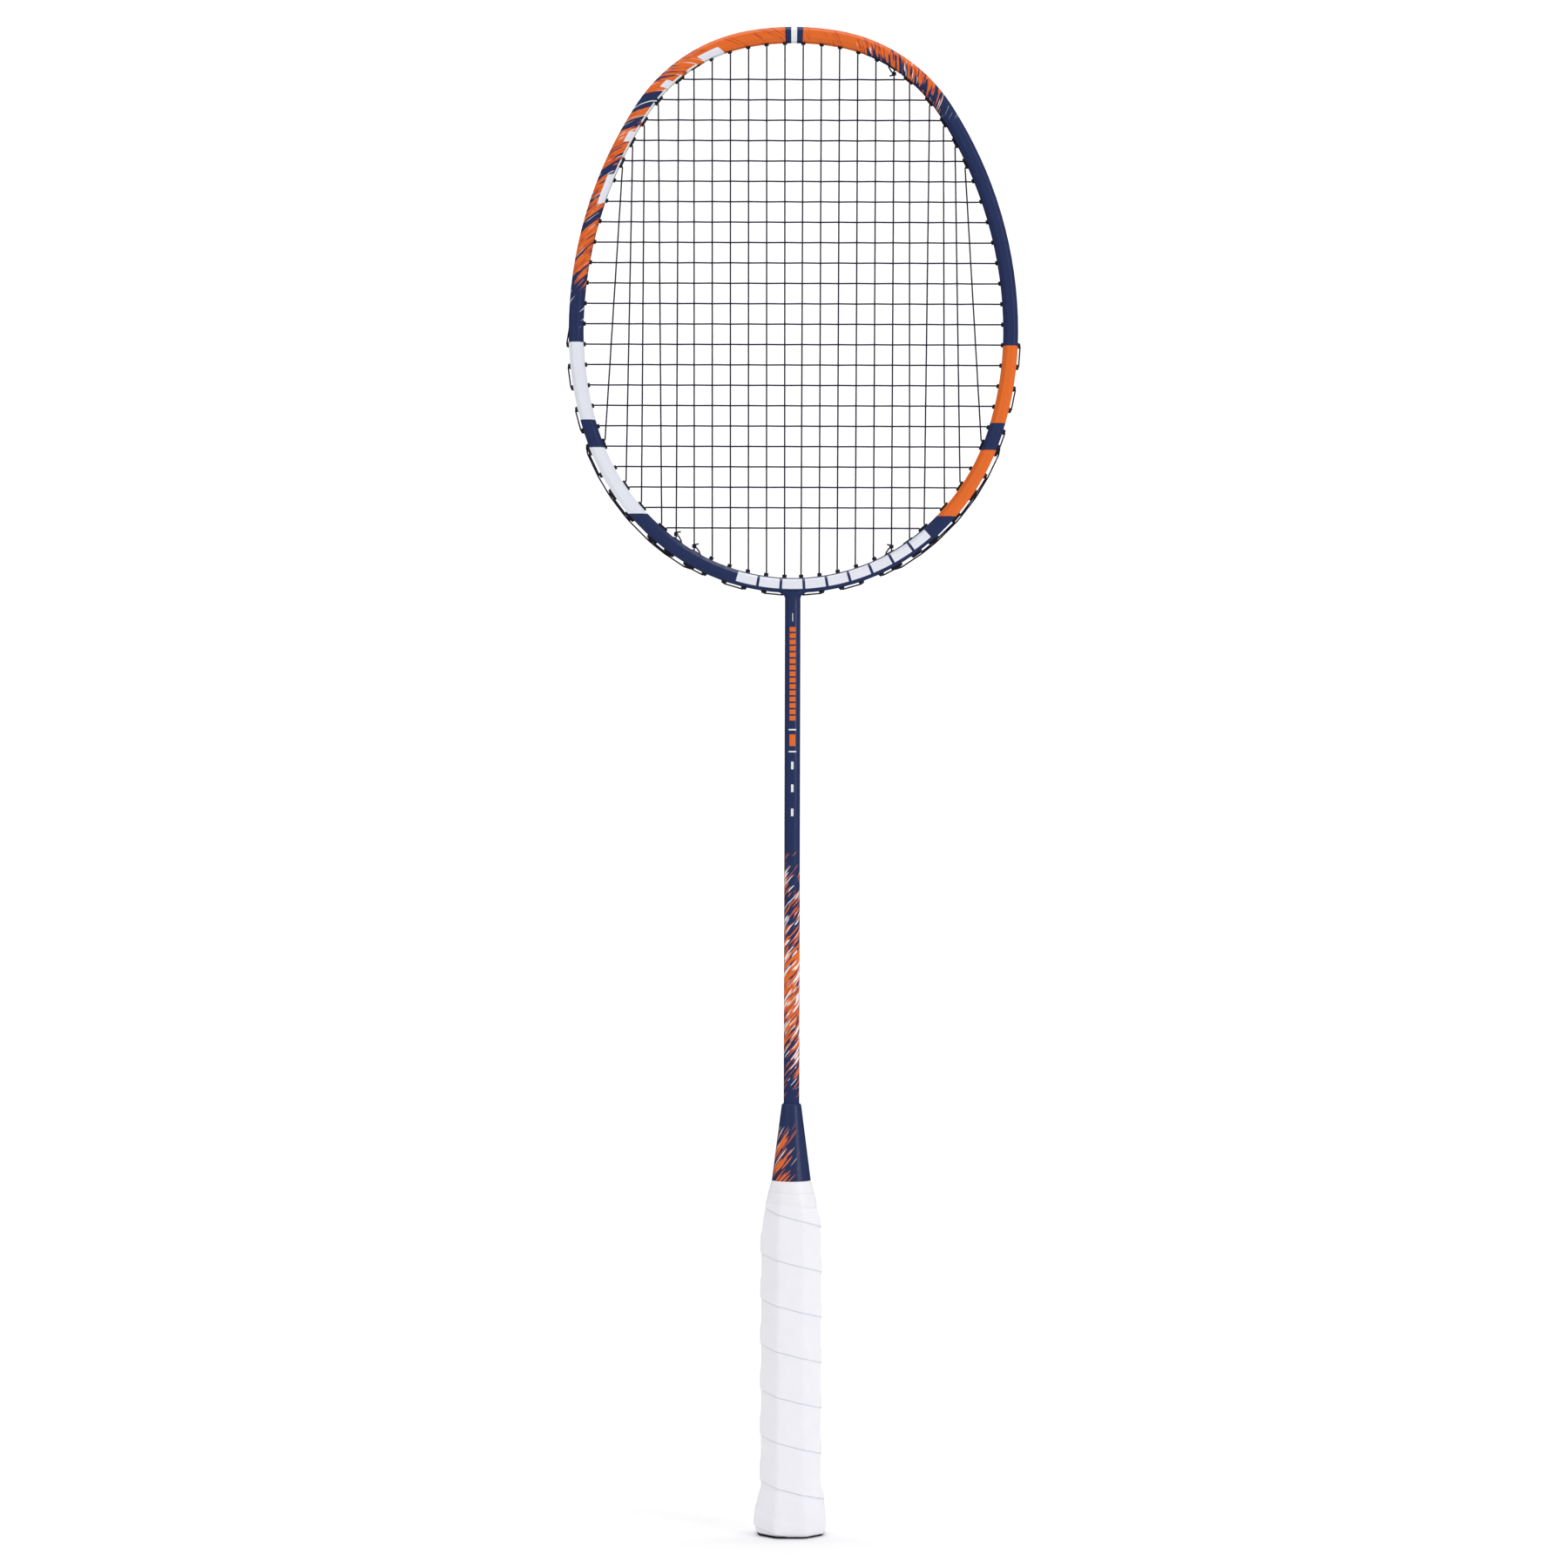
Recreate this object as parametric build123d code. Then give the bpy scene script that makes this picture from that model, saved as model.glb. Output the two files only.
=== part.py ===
from build123d import *

import os
from math import acos, cos, degrees, pi, radians, sin, tan

# A strung badminton racket that stands on its butt end. Millimetres. +Z runs up the racket and the
# strings lie in the XZ plane. The origin is the middle of the flat butt end and the front faces -Y.

# ---------------------------------------------------------------- driving dimensions
TOTAL_LENGTH = 675.0

# Head tube. "Outward" is measured from the middle of the tube, away from the strings.
TUBE_WIDTH = 6.5  # in the string plane
TUBE_DEPTH = 10.0  # front to back
TUBE_BEVEL_WIDTH = 1.7
TUBE_BEVEL_DEPTH = 2.3
TUBE_EDGE_RADIUS = 0.7
TUBE_WALL = 1.0
GROOVE_DEPTH = 1.5  # string groove on the outside of the upper half
GROOVE_WIDTH = 2.9
GROOVE_END = 88.6  # heading where the groove stops

# Outline of the head, to the middle of the tube. Each quarter is three tangent arcs.
HEAD_HALF_WIDTH = 97.4
HEAD_BELOW_WIDEST = 113.6
HEAD_ABOVE_WIDEST = 133.15
LOWER_SWEEPS = (35.0, 37.0, 18.0)  # from the throat to the widest place
LOWER_MIDDLE_RADIUS = 101.0
UPPER_SWEEPS = (10.0, 47.0, 33.0)  # from the tip to the widest place
UPPER_MIDDLE_RADIUS = 72.0

# Strings
STRING_RADIUS = 0.35
MAINS_PER_SIDE = 11
CROSSES = 23
FIRST_MAIN_TOP = 4.1  # distance of the first main from the middle, at its top end
MAIN_PITCH_TOP = 8.15
FREE_MAINS_TOP = 6  # the other mains share a grommet with a cross
FIRST_MAIN_BOTTOM = 3.7
MAIN_PITCH_BOTTOM = 8.1
FREE_MAINS_BOTTOM = 7
TOP_CROSS_Z = 651.8
CROSS_PITCH = 9.14
SHARED_TOP = {1: 7, 2: 8, 3: 9, 4: 10, 5: 11}  # cross: main in the same grommet
SHARED_BOTTOM = {19: 11, 21: 10, 22: 9, 23: 8}
WEAVE_HEIGHT = 0.375  # how far each string rises and dips where it meets another
WEAVE_BEND = 3.0
MOUTH_BEND = 1.0
OUTER_BEND = 0.6
LANE = 0.45  # outside the tube, mains run this far to the front and crosses as far to the back
RUN_IN_GROOVE = 2.75  # outward place of a string that runs in the groove
RUN_PROUD = 4.4  # outward place of a string that runs from head to head
TIE_RISE = 0.62  # how much higher the last stretch of a main passes over the others

# Grommets
BORE_RADIUS = 0.43
BARREL_RADIUS = 1.0
BARREL_CLEARANCE = 0.05
HEAD_RADIUS = 1.3
SADDLE_WIDTH = 1.74
SADDLE_PLATE_IN_GROOVE = 0.2  # left under the strings in the head of a sunk grommet
SADDLE_PLATE_PROUD = 0.6
CORNER_BEYOND_MOUTH = 0.3
PAIR_SPACING = 2.9  # between the two bores of a long grommet
PROUD_INSIDE = 1.0  # how far a barrel stands out inside the head
PROUD_BOTTOM = 1.5
PROUD_TIED = 0.4  # where a knot lies on the grommet

# Knots at the string ends
KNOT_RADIUS = 0.73
KNOT_PITCH = 0.8
KNOT_START = 0.45  # above the place where the main leaves its grommet
KNOT_APPROACH = 0.9  # straight length before the first turn
KNOT_TURNS = 2
KNOT_TAIL = 2.1
TIED_MAIN_TOP = 6
TIED_MAINS_BOTTOM = (6, 7)

# Throat and shaft
THROAT_FILLET = 3.4
NECK_LENGTH = 5.9
NOTCH_HALF_DEPTH = 1.4
NOTCH_INNER_X = 2.6
NOTCH_OUTER_X = 8.5
SHAFT_RADIUS = 3.5
SHAFT_BORE = 2.2
SHAFT_BOTTOM = 62.0
T_STEM_RADIUS = 2.1
T_STEM_LENGTH = 48.0
T_ARM_SWEEP = 11.0

# Cone, finishing tape and handle
CONE_TOP = 192.8
CONE_TOP_RADIUS = 4.4
CONE_SLOPE = 0.127
CONE_WALL = 1.6
HANDLE_TOP = 150.0
NOSE_RADIUS = 6.4
NOSE_LENGTH = 16.0
SLIDE_CLEARANCE = 0.05
TAPE_TOP = 158.6
TAPE_BOTTOM = 147.0
GRIP_TOP = 149.5
GRIP_FULL = 134.0
FLARE_TOP = 21.0
FLARE_MIDDLE = 16.5
FLARE_WIDEST = 6.5
CAP_THICKNESS = 0.9
CORE_WIDTH = 22.8
CORE_DEPTH = 20.2
GRIP_WIDTH = 26.6
GRIP_DEPTH = 24.0
BUTT_WIDTH = 31.8
BUTT_DEPTH = 28.4
STAPLE_Z = 32.0
STAPLE_WIDTH = 6.0
STAPLE_LEG = 4.0
STAPLE_WIRE = 0.35

# ---------------------------------------------------------------- worked out from those
HALF_TUBE = TUBE_WIDTH / 2
WIDEST_Z = TOTAL_LENGTH - HALF_TUBE - HEAD_ABOVE_WIDEST
THROAT_Z = WIDEST_Z - HEAD_BELOW_WIDEST  # middle of the tube at the throat
NECK_BOTTOM = THROAT_Z - HALF_TUBE - THROAT_FILLET - NECK_LENGTH
GROOVE_FLOOR = HALF_TUBE - GROOVE_DEPTH
CAVITY_OUTER = GROOVE_FLOOR - TUBE_WALL
CAVITY_INNER = HALF_TUBE - TUBE_WALL


# ---------------------------------------------------------------- head outline
# A place on the right half of the outline is named by its heading, the direction of travel in degrees:
# 0 at the throat, 90 at the widest place and 180 at the tip.


def quarter_radii(across, along, sweeps, middle_radius):
    """Radii of three tangent arcs that turn a quarter circle within the given half sizes."""
    turned = [0.0, radians(sweeps[0]), radians(sweeps[0] + sweeps[1]), pi / 2]
    run = [sin(turned[i + 1]) - sin(turned[i]) for i in range(3)]
    rise = [cos(turned[i]) - cos(turned[i + 1]) for i in range(3)]
    run_left = across - middle_radius * run[1]
    rise_left = along - middle_radius * rise[1]
    det = run[0] * rise[2] - run[2] * rise[0]
    first = (run_left * rise[2] - rise_left * run[2]) / det
    last = (rise_left * run[0] - run_left * rise[0]) / det
    return [first, middle_radius, last]


def head_arcs():
    """The right half of the outline, from the throat up: start heading, sweep, centre x, centre z, radius."""
    lower = quarter_radii(HEAD_HALF_WIDTH, HEAD_BELOW_WIDEST, LOWER_SWEEPS, LOWER_MIDDLE_RADIUS)
    upper = quarter_radii(HEAD_HALF_WIDTH, HEAD_ABOVE_WIDEST, UPPER_SWEEPS, UPPER_MIDDLE_RADIUS)
    radii = lower + upper[::-1]
    sweeps = LOWER_SWEEPS + UPPER_SWEEPS[::-1]
    arcs = []
    heading = 0.0
    x = 0.0
    z = THROAT_Z
    for radius, sweep_angle in zip(radii, sweeps):
        centre_x = x - radius * sin(radians(heading))
        centre_z = z + radius * cos(radians(heading))
        arcs.append((heading, sweep_angle, centre_x, centre_z, radius))
        heading += sweep_angle
        x = centre_x + radius * sin(radians(heading))
        z = centre_z - radius * cos(radians(heading))
    return arcs


HEAD_ARCS = head_arcs()


def arc_at(heading):
    for arc in HEAD_ARCS:
        if heading <= arc[0] + arc[1]:
            return arc
    return HEAD_ARCS[-1]


def outward_direction(heading):
    return Vector(sin(radians(heading)), 0, -cos(radians(heading)))


def tangent_direction(heading):
    return Vector(cos(radians(heading)), 0, sin(radians(heading)))


def tube_point(heading, outward, y=0.0):
    """A point beside the head tube, given by its distance outward from the middle of the tube."""
    _, _, centre_x, centre_z, radius = arc_at(heading)
    return Vector(centre_x, y, centre_z) + outward_direction(heading) * (radius + outward)


def find_heading(axis, target, low, high, outward):
    """Heading between low and high where the tube point's X or Z coordinate reaches the target."""
    low_side = getattr(tube_point(low, outward), axis) > target
    for _ in range(50):
        middle = (low + high) / 2
        if (getattr(tube_point(middle, outward), axis) > target) == low_side:
            low = middle
        else:
            high = middle
    return (low + high) / 2


def both_sides(shape):
    return [shape, mirror(shape, about=Plane.YZ)]


def along_tube(section, heading, sweep_angle):
    """Sweeps a section, drawn with X outward and Y to the back, along one arc of the outline."""
    _, _, centre_x, centre_z, _ = arc_at(heading + sweep_angle / 2)
    start = Plane(
        origin=tube_point(heading, 0), x_dir=outward_direction(heading), z_dir=tangent_direction(heading)
    )
    axis = Axis((centre_x, 0, centre_z), (0, -1, 0))
    return revolve(start * section, axis=axis, revolution_arc=sweep_angle)


# ---------------------------------------------------------------- grommet places


class Bore:
    """One string hole through the tube, on the right half of the head."""

    def __init__(self, heading, proud, back):
        self.heading = heading
        self.proud = proud
        self.lane = LANE if back else -LANE
        self.run = RUN_IN_GROOVE if heading > 90 else RUN_PROUD

    def inner(self):
        return tube_point(self.heading, -(HALF_TUBE + self.proud + CORNER_BEYOND_MOUTH))

    def outer(self):
        return tube_point(self.heading, self.run, self.lane)

    def beside(self, spacing):
        """Heading of a place this far along the tube, towards the tip if positive."""
        inner_radius = arc_at(self.heading)[4] - HALF_TUBE - self.proud
        return self.heading + degrees(spacing / inner_radius)


def corner_outward(proud):
    return -(HALF_TUBE + proud + CORNER_BEYOND_MOUTH)


def cross_z(cross):
    return TOP_CROSS_Z - CROSS_PITCH * (cross - 1)


def cross_bores():
    bores = {}
    for cross in range(1, CROSSES + 1):
        heading = find_heading("Z", cross_z(cross), 0, 180, corner_outward(PROUD_INSIDE))
        bores[cross] = Bore(heading, PROUD_INSIDE, back=True)
    return bores


def main_bores_top(crosses):
    bores = {}
    for main in range(1, FREE_MAINS_TOP + 1):
        x = FIRST_MAIN_TOP + MAIN_PITCH_TOP * (main - 1)
        proud = PROUD_TIED if main == TIED_MAIN_TOP else PROUD_INSIDE
        heading = find_heading("X", x, 90, 180, corner_outward(proud))
        bores[main] = Bore(heading, proud, back=False)
    for cross, main in SHARED_TOP.items():
        bores[main] = Bore(crosses[cross].beside(-PAIR_SPACING), PROUD_INSIDE, back=False)
    return bores


def main_bores_bottom(crosses):
    bores = {}
    for main in range(1, FREE_MAINS_BOTTOM + 1):
        x = FIRST_MAIN_BOTTOM + MAIN_PITCH_BOTTOM * (main - 1)
        proud = PROUD_TIED if main in TIED_MAINS_BOTTOM else PROUD_BOTTOM
        heading = find_heading("X", x, 0, 90, corner_outward(proud))
        bores[main] = Bore(heading, proud, back=False)
    for cross, main in SHARED_BOTTOM.items():
        bores[main] = Bore(crosses[cross].beside(PAIR_SPACING), PROUD_INSIDE, back=False)
    return bores


CROSS_BORES = cross_bores()
TOP_BORES = main_bores_top(CROSS_BORES)
BOTTOM_BORES = main_bores_bottom(CROSS_BORES)
# Spare bores for the string ends, each beside a main and nearer the middle of the racket.
TIE_TOP = Bore(TOP_BORES[6].beside(PAIR_SPACING), PROUD_TIED, back=True)
TIE_BOTTOM_SIX = Bore(BOTTOM_BORES[6].beside(-PAIR_SPACING), PROUD_TIED, back=True)
TIE_BOTTOM_SEVEN = Bore(BOTTOM_BORES[7].beside(-PAIR_SPACING), PROUD_TIED, back=True)


# ---------------------------------------------------------------- grommets


def grommet_outline(bores, radius):
    """A circle round one bore, or a slot round two, with X along the tube."""
    if len(bores) == 1:
        return Circle(radius)
    near = tube_point(bores[0].heading, 0)
    far = tube_point(bores[1].heading, 0)
    return SlotCenterToCenter((far - near).length, 2 * radius)


def grommet_block(bores, radius, inner, outer):
    """The outline of a grommet taken through the tube, between two outward places."""
    heading = sum(bore.heading for bore in bores) / len(bores)
    plane = Plane(
        origin=tube_point(heading, inner), x_dir=tangent_direction(heading), z_dir=outward_direction(heading)
    )
    return extrude(plane * grommet_outline(bores, radius), outer - inner)


def bore_cutter(bore):
    """A hole on the slant from the middle of the strings inside to the string's lane outside."""
    start = bore.inner()
    line = bore.outer() - start
    beyond = line.normalized() * 1.5
    plane = Plane(origin=start - beyond, z_dir=line)
    return extrude(plane * Circle(BORE_RADIUS), line.length + 2 * beyond.length)


def grommet(bores):
    run = bores[0].run
    sunk = run == RUN_IN_GROOVE
    base = GROOVE_FLOOR if sunk else HALF_TUBE
    saddle_floor = base + (SADDLE_PLATE_IN_GROOVE if sunk else SADDLE_PLATE_PROUD)
    proud = bores[0].proud
    body = grommet_block(bores, BARREL_RADIUS, -(HALF_TUBE + proud), base)
    body += grommet_block(bores, HEAD_RADIUS, base, run)
    for bore in bores:
        body -= bore_cutter(bore)
    heading = sum(bore.heading for bore in bores) / len(bores)
    saddle = Plane(
        origin=tube_point(heading, saddle_floor),
        x_dir=tangent_direction(heading),
        z_dir=outward_direction(heading),
    )
    body -= extrude(saddle * Rectangle(12, SADDLE_WIDTH), 3)
    return body


def grommet_groups():
    """Every grommet of the right half, sorted into the kinds that a stringer would order."""
    side = [k for k in range(1, CROSSES + 1) if k not in SHARED_TOP and k not in SHARED_BOTTOM]
    return {
        "tip_grommets": [[TOP_BORES[m]] for m in range(1, 6)],
        "tip_tie_grommets": [[TOP_BORES[6], TIE_TOP]],
        "upper_shared_grommets": [[TOP_BORES[m], CROSS_BORES[k]] for k, m in SHARED_TOP.items()],
        "groove_side_grommets": [[CROSS_BORES[k]] for k in side if CROSS_BORES[k].heading > 90],
        "proud_side_grommets": [[CROSS_BORES[k]] for k in side if CROSS_BORES[k].heading < 90],
        "lower_shared_grommets": [[CROSS_BORES[k], BOTTOM_BORES[m]] for k, m in SHARED_BOTTOM.items()],
        "throat_tie_grommets": [[TIE_BOTTOM_SEVEN, BOTTOM_BORES[7]], [TIE_BOTTOM_SIX, BOTTOM_BORES[6]]],
        "throat_grommets": [[BOTTOM_BORES[m]] for m in range(1, 6)],
    }


GROMMET_GROUPS = grommet_groups()


def grommet_holes():
    """Cutters for all the grommet holes of the head, on both sides."""
    cutters = []
    for places in GROMMET_GROUPS.values():
        for bores in places:
            hole = grommet_block(bores, BARREL_RADIUS + BARREL_CLEARANCE, -TUBE_WIDTH, TUBE_WIDTH)
            cutters += both_sides(hole)
    return cutters


# ---------------------------------------------------------------- head frame and throat


def tube_outline():
    half_depth = TUBE_DEPTH / 2
    flat_u = HALF_TUBE - TUBE_BEVEL_WIDTH
    flat_v = half_depth - TUBE_BEVEL_DEPTH
    corners = [
        (HALF_TUBE, -flat_v),
        (HALF_TUBE, flat_v),
        (flat_u, half_depth),
        (-flat_u, half_depth),
        (-HALF_TUBE, flat_v),
        (-HALF_TUBE, -flat_v),
        (-flat_u, -half_depth),
        (flat_u, -half_depth),
    ]
    outline = Polygon(*corners, align=None)
    return fillet(outline.vertices(), TUBE_EDGE_RADIUS)


def cavity_outline(shrink=0.0):
    """The hollow of the tube. A positive shrink gives what fits inside it."""
    inner = -CAVITY_INNER + shrink
    outer = CAVITY_OUTER - shrink
    half_depth = TUBE_DEPTH / 2 - TUBE_WALL - shrink
    shape = Pos((inner + outer) / 2, 0) * Rectangle(outer - inner, 2 * half_depth)
    return fillet(shape.vertices(), 1.0)


def groove_outline():
    outer = HALF_TUBE + 1
    return Pos((GROOVE_FLOOR + outer) / 2, 0) * Rectangle(outer - GROOVE_FLOOR, GROOVE_WIDTH)


def head_ring():
    plain = tube_outline() - cavity_outline()
    grooved = plain - groove_outline()
    pieces = []
    for heading, sweep_angle, _, _, _ in HEAD_ARCS:
        section = grooved if heading >= 90 else plain
        pieces += both_sides(along_tube(section, heading, sweep_angle))
    ring = Part() + pieces
    run_outs = both_sides(along_tube(groove_outline(), GROOVE_END, 90 - GROOVE_END))
    return ring - run_outs


def throat_neck():
    """The neck under the head: a round tube that spreads in a fillet until it is lost in the ring."""
    start = THROAT_Z - HALF_TUBE - THROAT_FILLET
    sections = [Plane.XY.offset(NECK_BOTTOM) * Circle(SHAFT_RADIUS)]
    steps = 6
    for step in range(steps + 1):
        turn = step / steps * radians(80)
        z = start + THROAT_FILLET * sin(turn)
        half_width = SHAFT_RADIUS + THROAT_FILLET * (1 - cos(turn))
        half_depth = SHAFT_RADIUS + 0.5 * (1 - cos(turn))
        sections.append(Plane.XY.offset(z) * Ellipse(half_width, half_depth))
    neck = extrude(sections[0], start - NECK_BOTTOM) + loft(sections[1:])
    neck += extrude(sections[-1], THROAT_Z - HALF_TUBE + 0.6 - (start + THROAT_FILLET * sin(radians(80))))
    return neck


def string_notches():
    """Notches in the throat fillet where the innermost mains come out and turn."""
    top = THROAT_Z - HALF_TUBE + 1
    bottom = THROAT_Z - RUN_PROUD - STRING_RADIUS - 0.35
    centre_x = (NOTCH_INNER_X + NOTCH_OUTER_X) / 2
    notch = Pos(centre_x, 0, (top + bottom) / 2) * Box(
        NOTCH_OUTER_X - NOTCH_INNER_X, 2 * NOTCH_HALF_DEPTH, top - bottom
    )
    return both_sides(notch)


def throat_bore():
    return Pos(0, 0, NECK_BOTTOM - 1) * Cylinder(
        SHAFT_BORE, THROAT_Z - NECK_BOTTOM + 1, align=(Align.CENTER, Align.CENTER, Align.MIN)
    )


def head_frame():
    neck = throat_neck() - string_notches()
    return head_ring() + neck - throat_bore() - grommet_holes()


def t_joint():
    """The T-shaped insert inside the throat: two arms in the head tube and a stem in the shaft."""
    arm = along_tube(cavity_outline(shrink=0.15), 0, T_ARM_SWEEP)
    stem = Pos(0, 0, THROAT_Z - T_STEM_LENGTH) * Cylinder(
        T_STEM_RADIUS, T_STEM_LENGTH, align=(Align.CENTER, Align.CENTER, Align.MIN)
    )
    return Part() + both_sides(arm) + stem - grommet_holes()


# ---------------------------------------------------------------- shaft, cone and handle


def shaft():
    tube = Cylinder(SHAFT_RADIUS, NECK_BOTTOM - SHAFT_BOTTOM, align=(Align.CENTER, Align.CENTER, Align.MIN))
    bore = Cylinder(SHAFT_BORE, NECK_BOTTOM - SHAFT_BOTTOM, align=(Align.CENTER, Align.CENTER, Align.MIN))
    return Pos(0, 0, SHAFT_BOTTOM) * (tube - bore)


def cone_radius(z):
    return CONE_TOP_RADIUS + CONE_SLOPE * (CONE_TOP - z)


def cone():
    """The hollow tapered cap that slides down the shaft onto the nose of the handle."""
    shaft_hole = SHAFT_RADIUS + SLIDE_CLEARANCE
    nose_hole = NOSE_RADIUS + SLIDE_CLEARANCE
    hollow_top = CONE_TOP - 9
    shoulder = HANDLE_TOP + NOSE_LENGTH + 1
    outline = Polyline(
        (shaft_hole, CONE_TOP),
        (CONE_TOP_RADIUS - 0.5, CONE_TOP),
        (CONE_TOP_RADIUS, CONE_TOP - 0.6),
        (cone_radius(HANDLE_TOP), HANDLE_TOP),
        (nose_hole, HANDLE_TOP),
        (nose_hole, shoulder),
        (cone_radius(shoulder) - CONE_WALL, shoulder),
        (shaft_hole, hollow_top),
        close=True,
    )
    section = Plane.XZ * make_face(outline)
    return revolve(section, axis=Axis.Z)


def handle_section(z, width, depth, rounding):
    """An octagon with softened corners, the section of everything on the handle."""
    corner = 0.29 * (width + depth) / 2
    half_width = width / 2
    half_depth = depth / 2
    points = [
        (half_width, -half_depth + corner),
        (half_width, half_depth - corner),
        (half_width - corner, half_depth),
        (-half_width + corner, half_depth),
        (-half_width, half_depth - corner),
        (-half_width, -half_depth + corner),
        (-half_width + corner, -half_depth),
        (half_width - corner, -half_depth),
    ]
    outline = Polygon(*points, align=None)
    return Plane.XY.offset(z) * fillet(outline.vertices(), rounding)


def stacked(sections):
    """Straight-sided solid through a stack of handle sections."""
    return loft([handle_section(*section) for section in sections], ruled=True)


def core_shape():
    return stacked(
        [
            (CAP_THICKNESS, BUTT_WIDTH - 5.2, BUTT_DEPTH - 5.2, 1.5),
            (FLARE_WIDEST, BUTT_WIDTH - 4.0, BUTT_DEPTH - 4.0, 1.5),
            (FLARE_TOP, CORE_WIDTH, CORE_DEPTH, 1.0),
            (GRIP_FULL, CORE_WIDTH, CORE_DEPTH, 1.0),
            (HANDLE_TOP, 19.2, 18.4, 3.0),
        ]
    )


def grip_shape():
    return stacked(
        [
            (CAP_THICKNESS, BUTT_WIDTH - 2.4, BUTT_DEPTH - 2.4, 4.0),
            (2.4, BUTT_WIDTH - 0.9, BUTT_DEPTH - 0.9, 4.0),
            (4.2, BUTT_WIDTH - 0.2, BUTT_DEPTH - 0.2, 4.0),
            (FLARE_WIDEST, BUTT_WIDTH, BUTT_DEPTH, 4.0),
            (12.0, BUTT_WIDTH - 1.0, BUTT_DEPTH - 1.0, 3.6),
            (FLARE_MIDDLE, GRIP_WIDTH + 2.6, GRIP_DEPTH + 2.2, 3.3),
            (FLARE_TOP, GRIP_WIDTH, GRIP_DEPTH, 3.0),
            (GRIP_FULL, GRIP_WIDTH, GRIP_DEPTH, 3.0),
            (TAPE_BOTTOM, 23.2, 21.8, 4.0),
            (GRIP_TOP, 21.3, 20.5, 5.0),
        ]
    )


def staple():
    """The wire staple that holds the start of the grip wrap to the front of the handle."""
    face = -CORE_DEPTH / 2
    crown_y = face + STAPLE_WIRE
    half = STAPLE_WIDTH / 2
    crown = Pos(-half, crown_y, STAPLE_Z) * Rot(0, 90, 0) * Cylinder(
        STAPLE_WIRE, STAPLE_WIDTH, align=(Align.CENTER, Align.CENTER, Align.MIN)
    )
    legs = [
        Pos(x, crown_y, STAPLE_Z) * Rot(-90, 0, 0) * Cylinder(
            STAPLE_WIRE, STAPLE_LEG, align=(Align.CENTER, Align.CENTER, Align.MIN)
        )
        for x in (-half, half)
    ]
    ends = [Pos(x, crown_y, STAPLE_Z) * Sphere(STAPLE_WIRE) for x in (-half, half)]
    return Part() + crown + legs + ends


def cap_boss():
    return Pos(0, 0, CAP_THICKNESS) * Cylinder(6, 6, align=(Align.CENTER, Align.CENTER, Align.MIN))


def handle_core():
    nose = Pos(0, 0, HANDLE_TOP) * Cylinder(
        NOSE_RADIUS, NOSE_LENGTH, align=(Align.CENTER, Align.CENTER, Align.MIN)
    )
    shaft_hole = Pos(0, 0, SHAFT_BOTTOM - 1) * Cylinder(
        SHAFT_RADIUS + SLIDE_CLEARANCE,
        HANDLE_TOP + NOSE_LENGTH - SHAFT_BOTTOM + 2,
        align=(Align.CENTER, Align.CENTER, Align.MIN),
    )
    boss_hole = Pos(0, 0, CAP_THICKNESS) * Cylinder(
        6.1, 6.5, align=(Align.CENTER, Align.CENTER, Align.MIN)
    )
    return core_shape() + nose - shaft_hole - boss_hole - staple()


def butt_cap():
    plate = stacked(
        [
            (0, BUTT_WIDTH - 3.8, BUTT_DEPTH - 3.8, 4.0),
            (0.3, BUTT_WIDTH - 3.0, BUTT_DEPTH - 3.0, 4.0),
            (CAP_THICKNESS, BUTT_WIDTH - 2.4, BUTT_DEPTH - 2.4, 4.0),
        ]
    )
    return plate + cap_boss()


def grip_wrap():
    return grip_shape() - core_shape()


def finishing_tape():
    cover = stacked(
        [
            (TAPE_BOTTOM, 22.3, 21.4, 5.0),
            (TAPE_BOTTOM + 1.2, 22.3, 21.3, 5.5),
            (TAPE_TOP, 17.9, 17.9, 7.5),
        ]
    )
    cone_block = Cone(
        cone_radius(TAPE_BOTTOM), cone_radius(CONE_TOP), CONE_TOP - TAPE_BOTTOM,
        align=(Align.CENTER, Align.CENTER, Align.MIN),
    )
    inside = [core_shape(), grip_shape(), Pos(0, 0, TAPE_BOTTOM) * cone_block]
    return cover - inside


# ---------------------------------------------------------------- strings


def flipped(point):
    return Vector(-point.X, point.Y, point.Z)


def on_side(points, side):
    """Takes (point, bend radius) pairs drawn for the right half to the side wanted, -1 or 1."""
    return [(flipped(point) if side < 0 else point, bend) for point, bend in points]


def rounded_edges(corners):
    """Straight runs joined by tangent arcs. The bend radius at each corner is given with it."""
    edges = []
    last = corners[0][0]
    for index in range(1, len(corners) - 1):
        corner, bend = corners[index]
        back = (corners[index - 1][0] - corner).normalized()
        ahead = (corners[index + 1][0] - corner).normalized()
        opening = acos(max(-1.0, min(1.0, back.dot(ahead))))
        if pi - opening < 0.002:
            continue
        setback = bend / tan(opening / 2)
        middle_direction = (back + ahead).normalized()
        middle = corner + middle_direction * (bend / sin(opening / 2) - bend)
        start = corner + back * setback
        end = corner + ahead * setback
        edges.append(Edge.make_line(last, start))
        edges.append(Edge.make_three_point_arc(start, middle, end))
        last = end
    edges.append(Edge.make_line(last, corners[-1][0]))
    return edges


def main_ends(main, side):
    """The bottom and top corners of a main inside the head."""
    bottom = BOTTOM_BORES[main].inner()
    top = TOP_BORES[main].inner()
    if side < 0:
        return flipped(bottom), flipped(top)
    return bottom, top


LEFT_COLUMNS = [(main, -1) for main in range(MAINS_PER_SIDE, 0, -1)]
RIGHT_COLUMNS = [(main, 1) for main in range(1, MAINS_PER_SIDE + 1)]
MAIN_COLUMNS = LEFT_COLUMNS + RIGHT_COLUMNS


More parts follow.
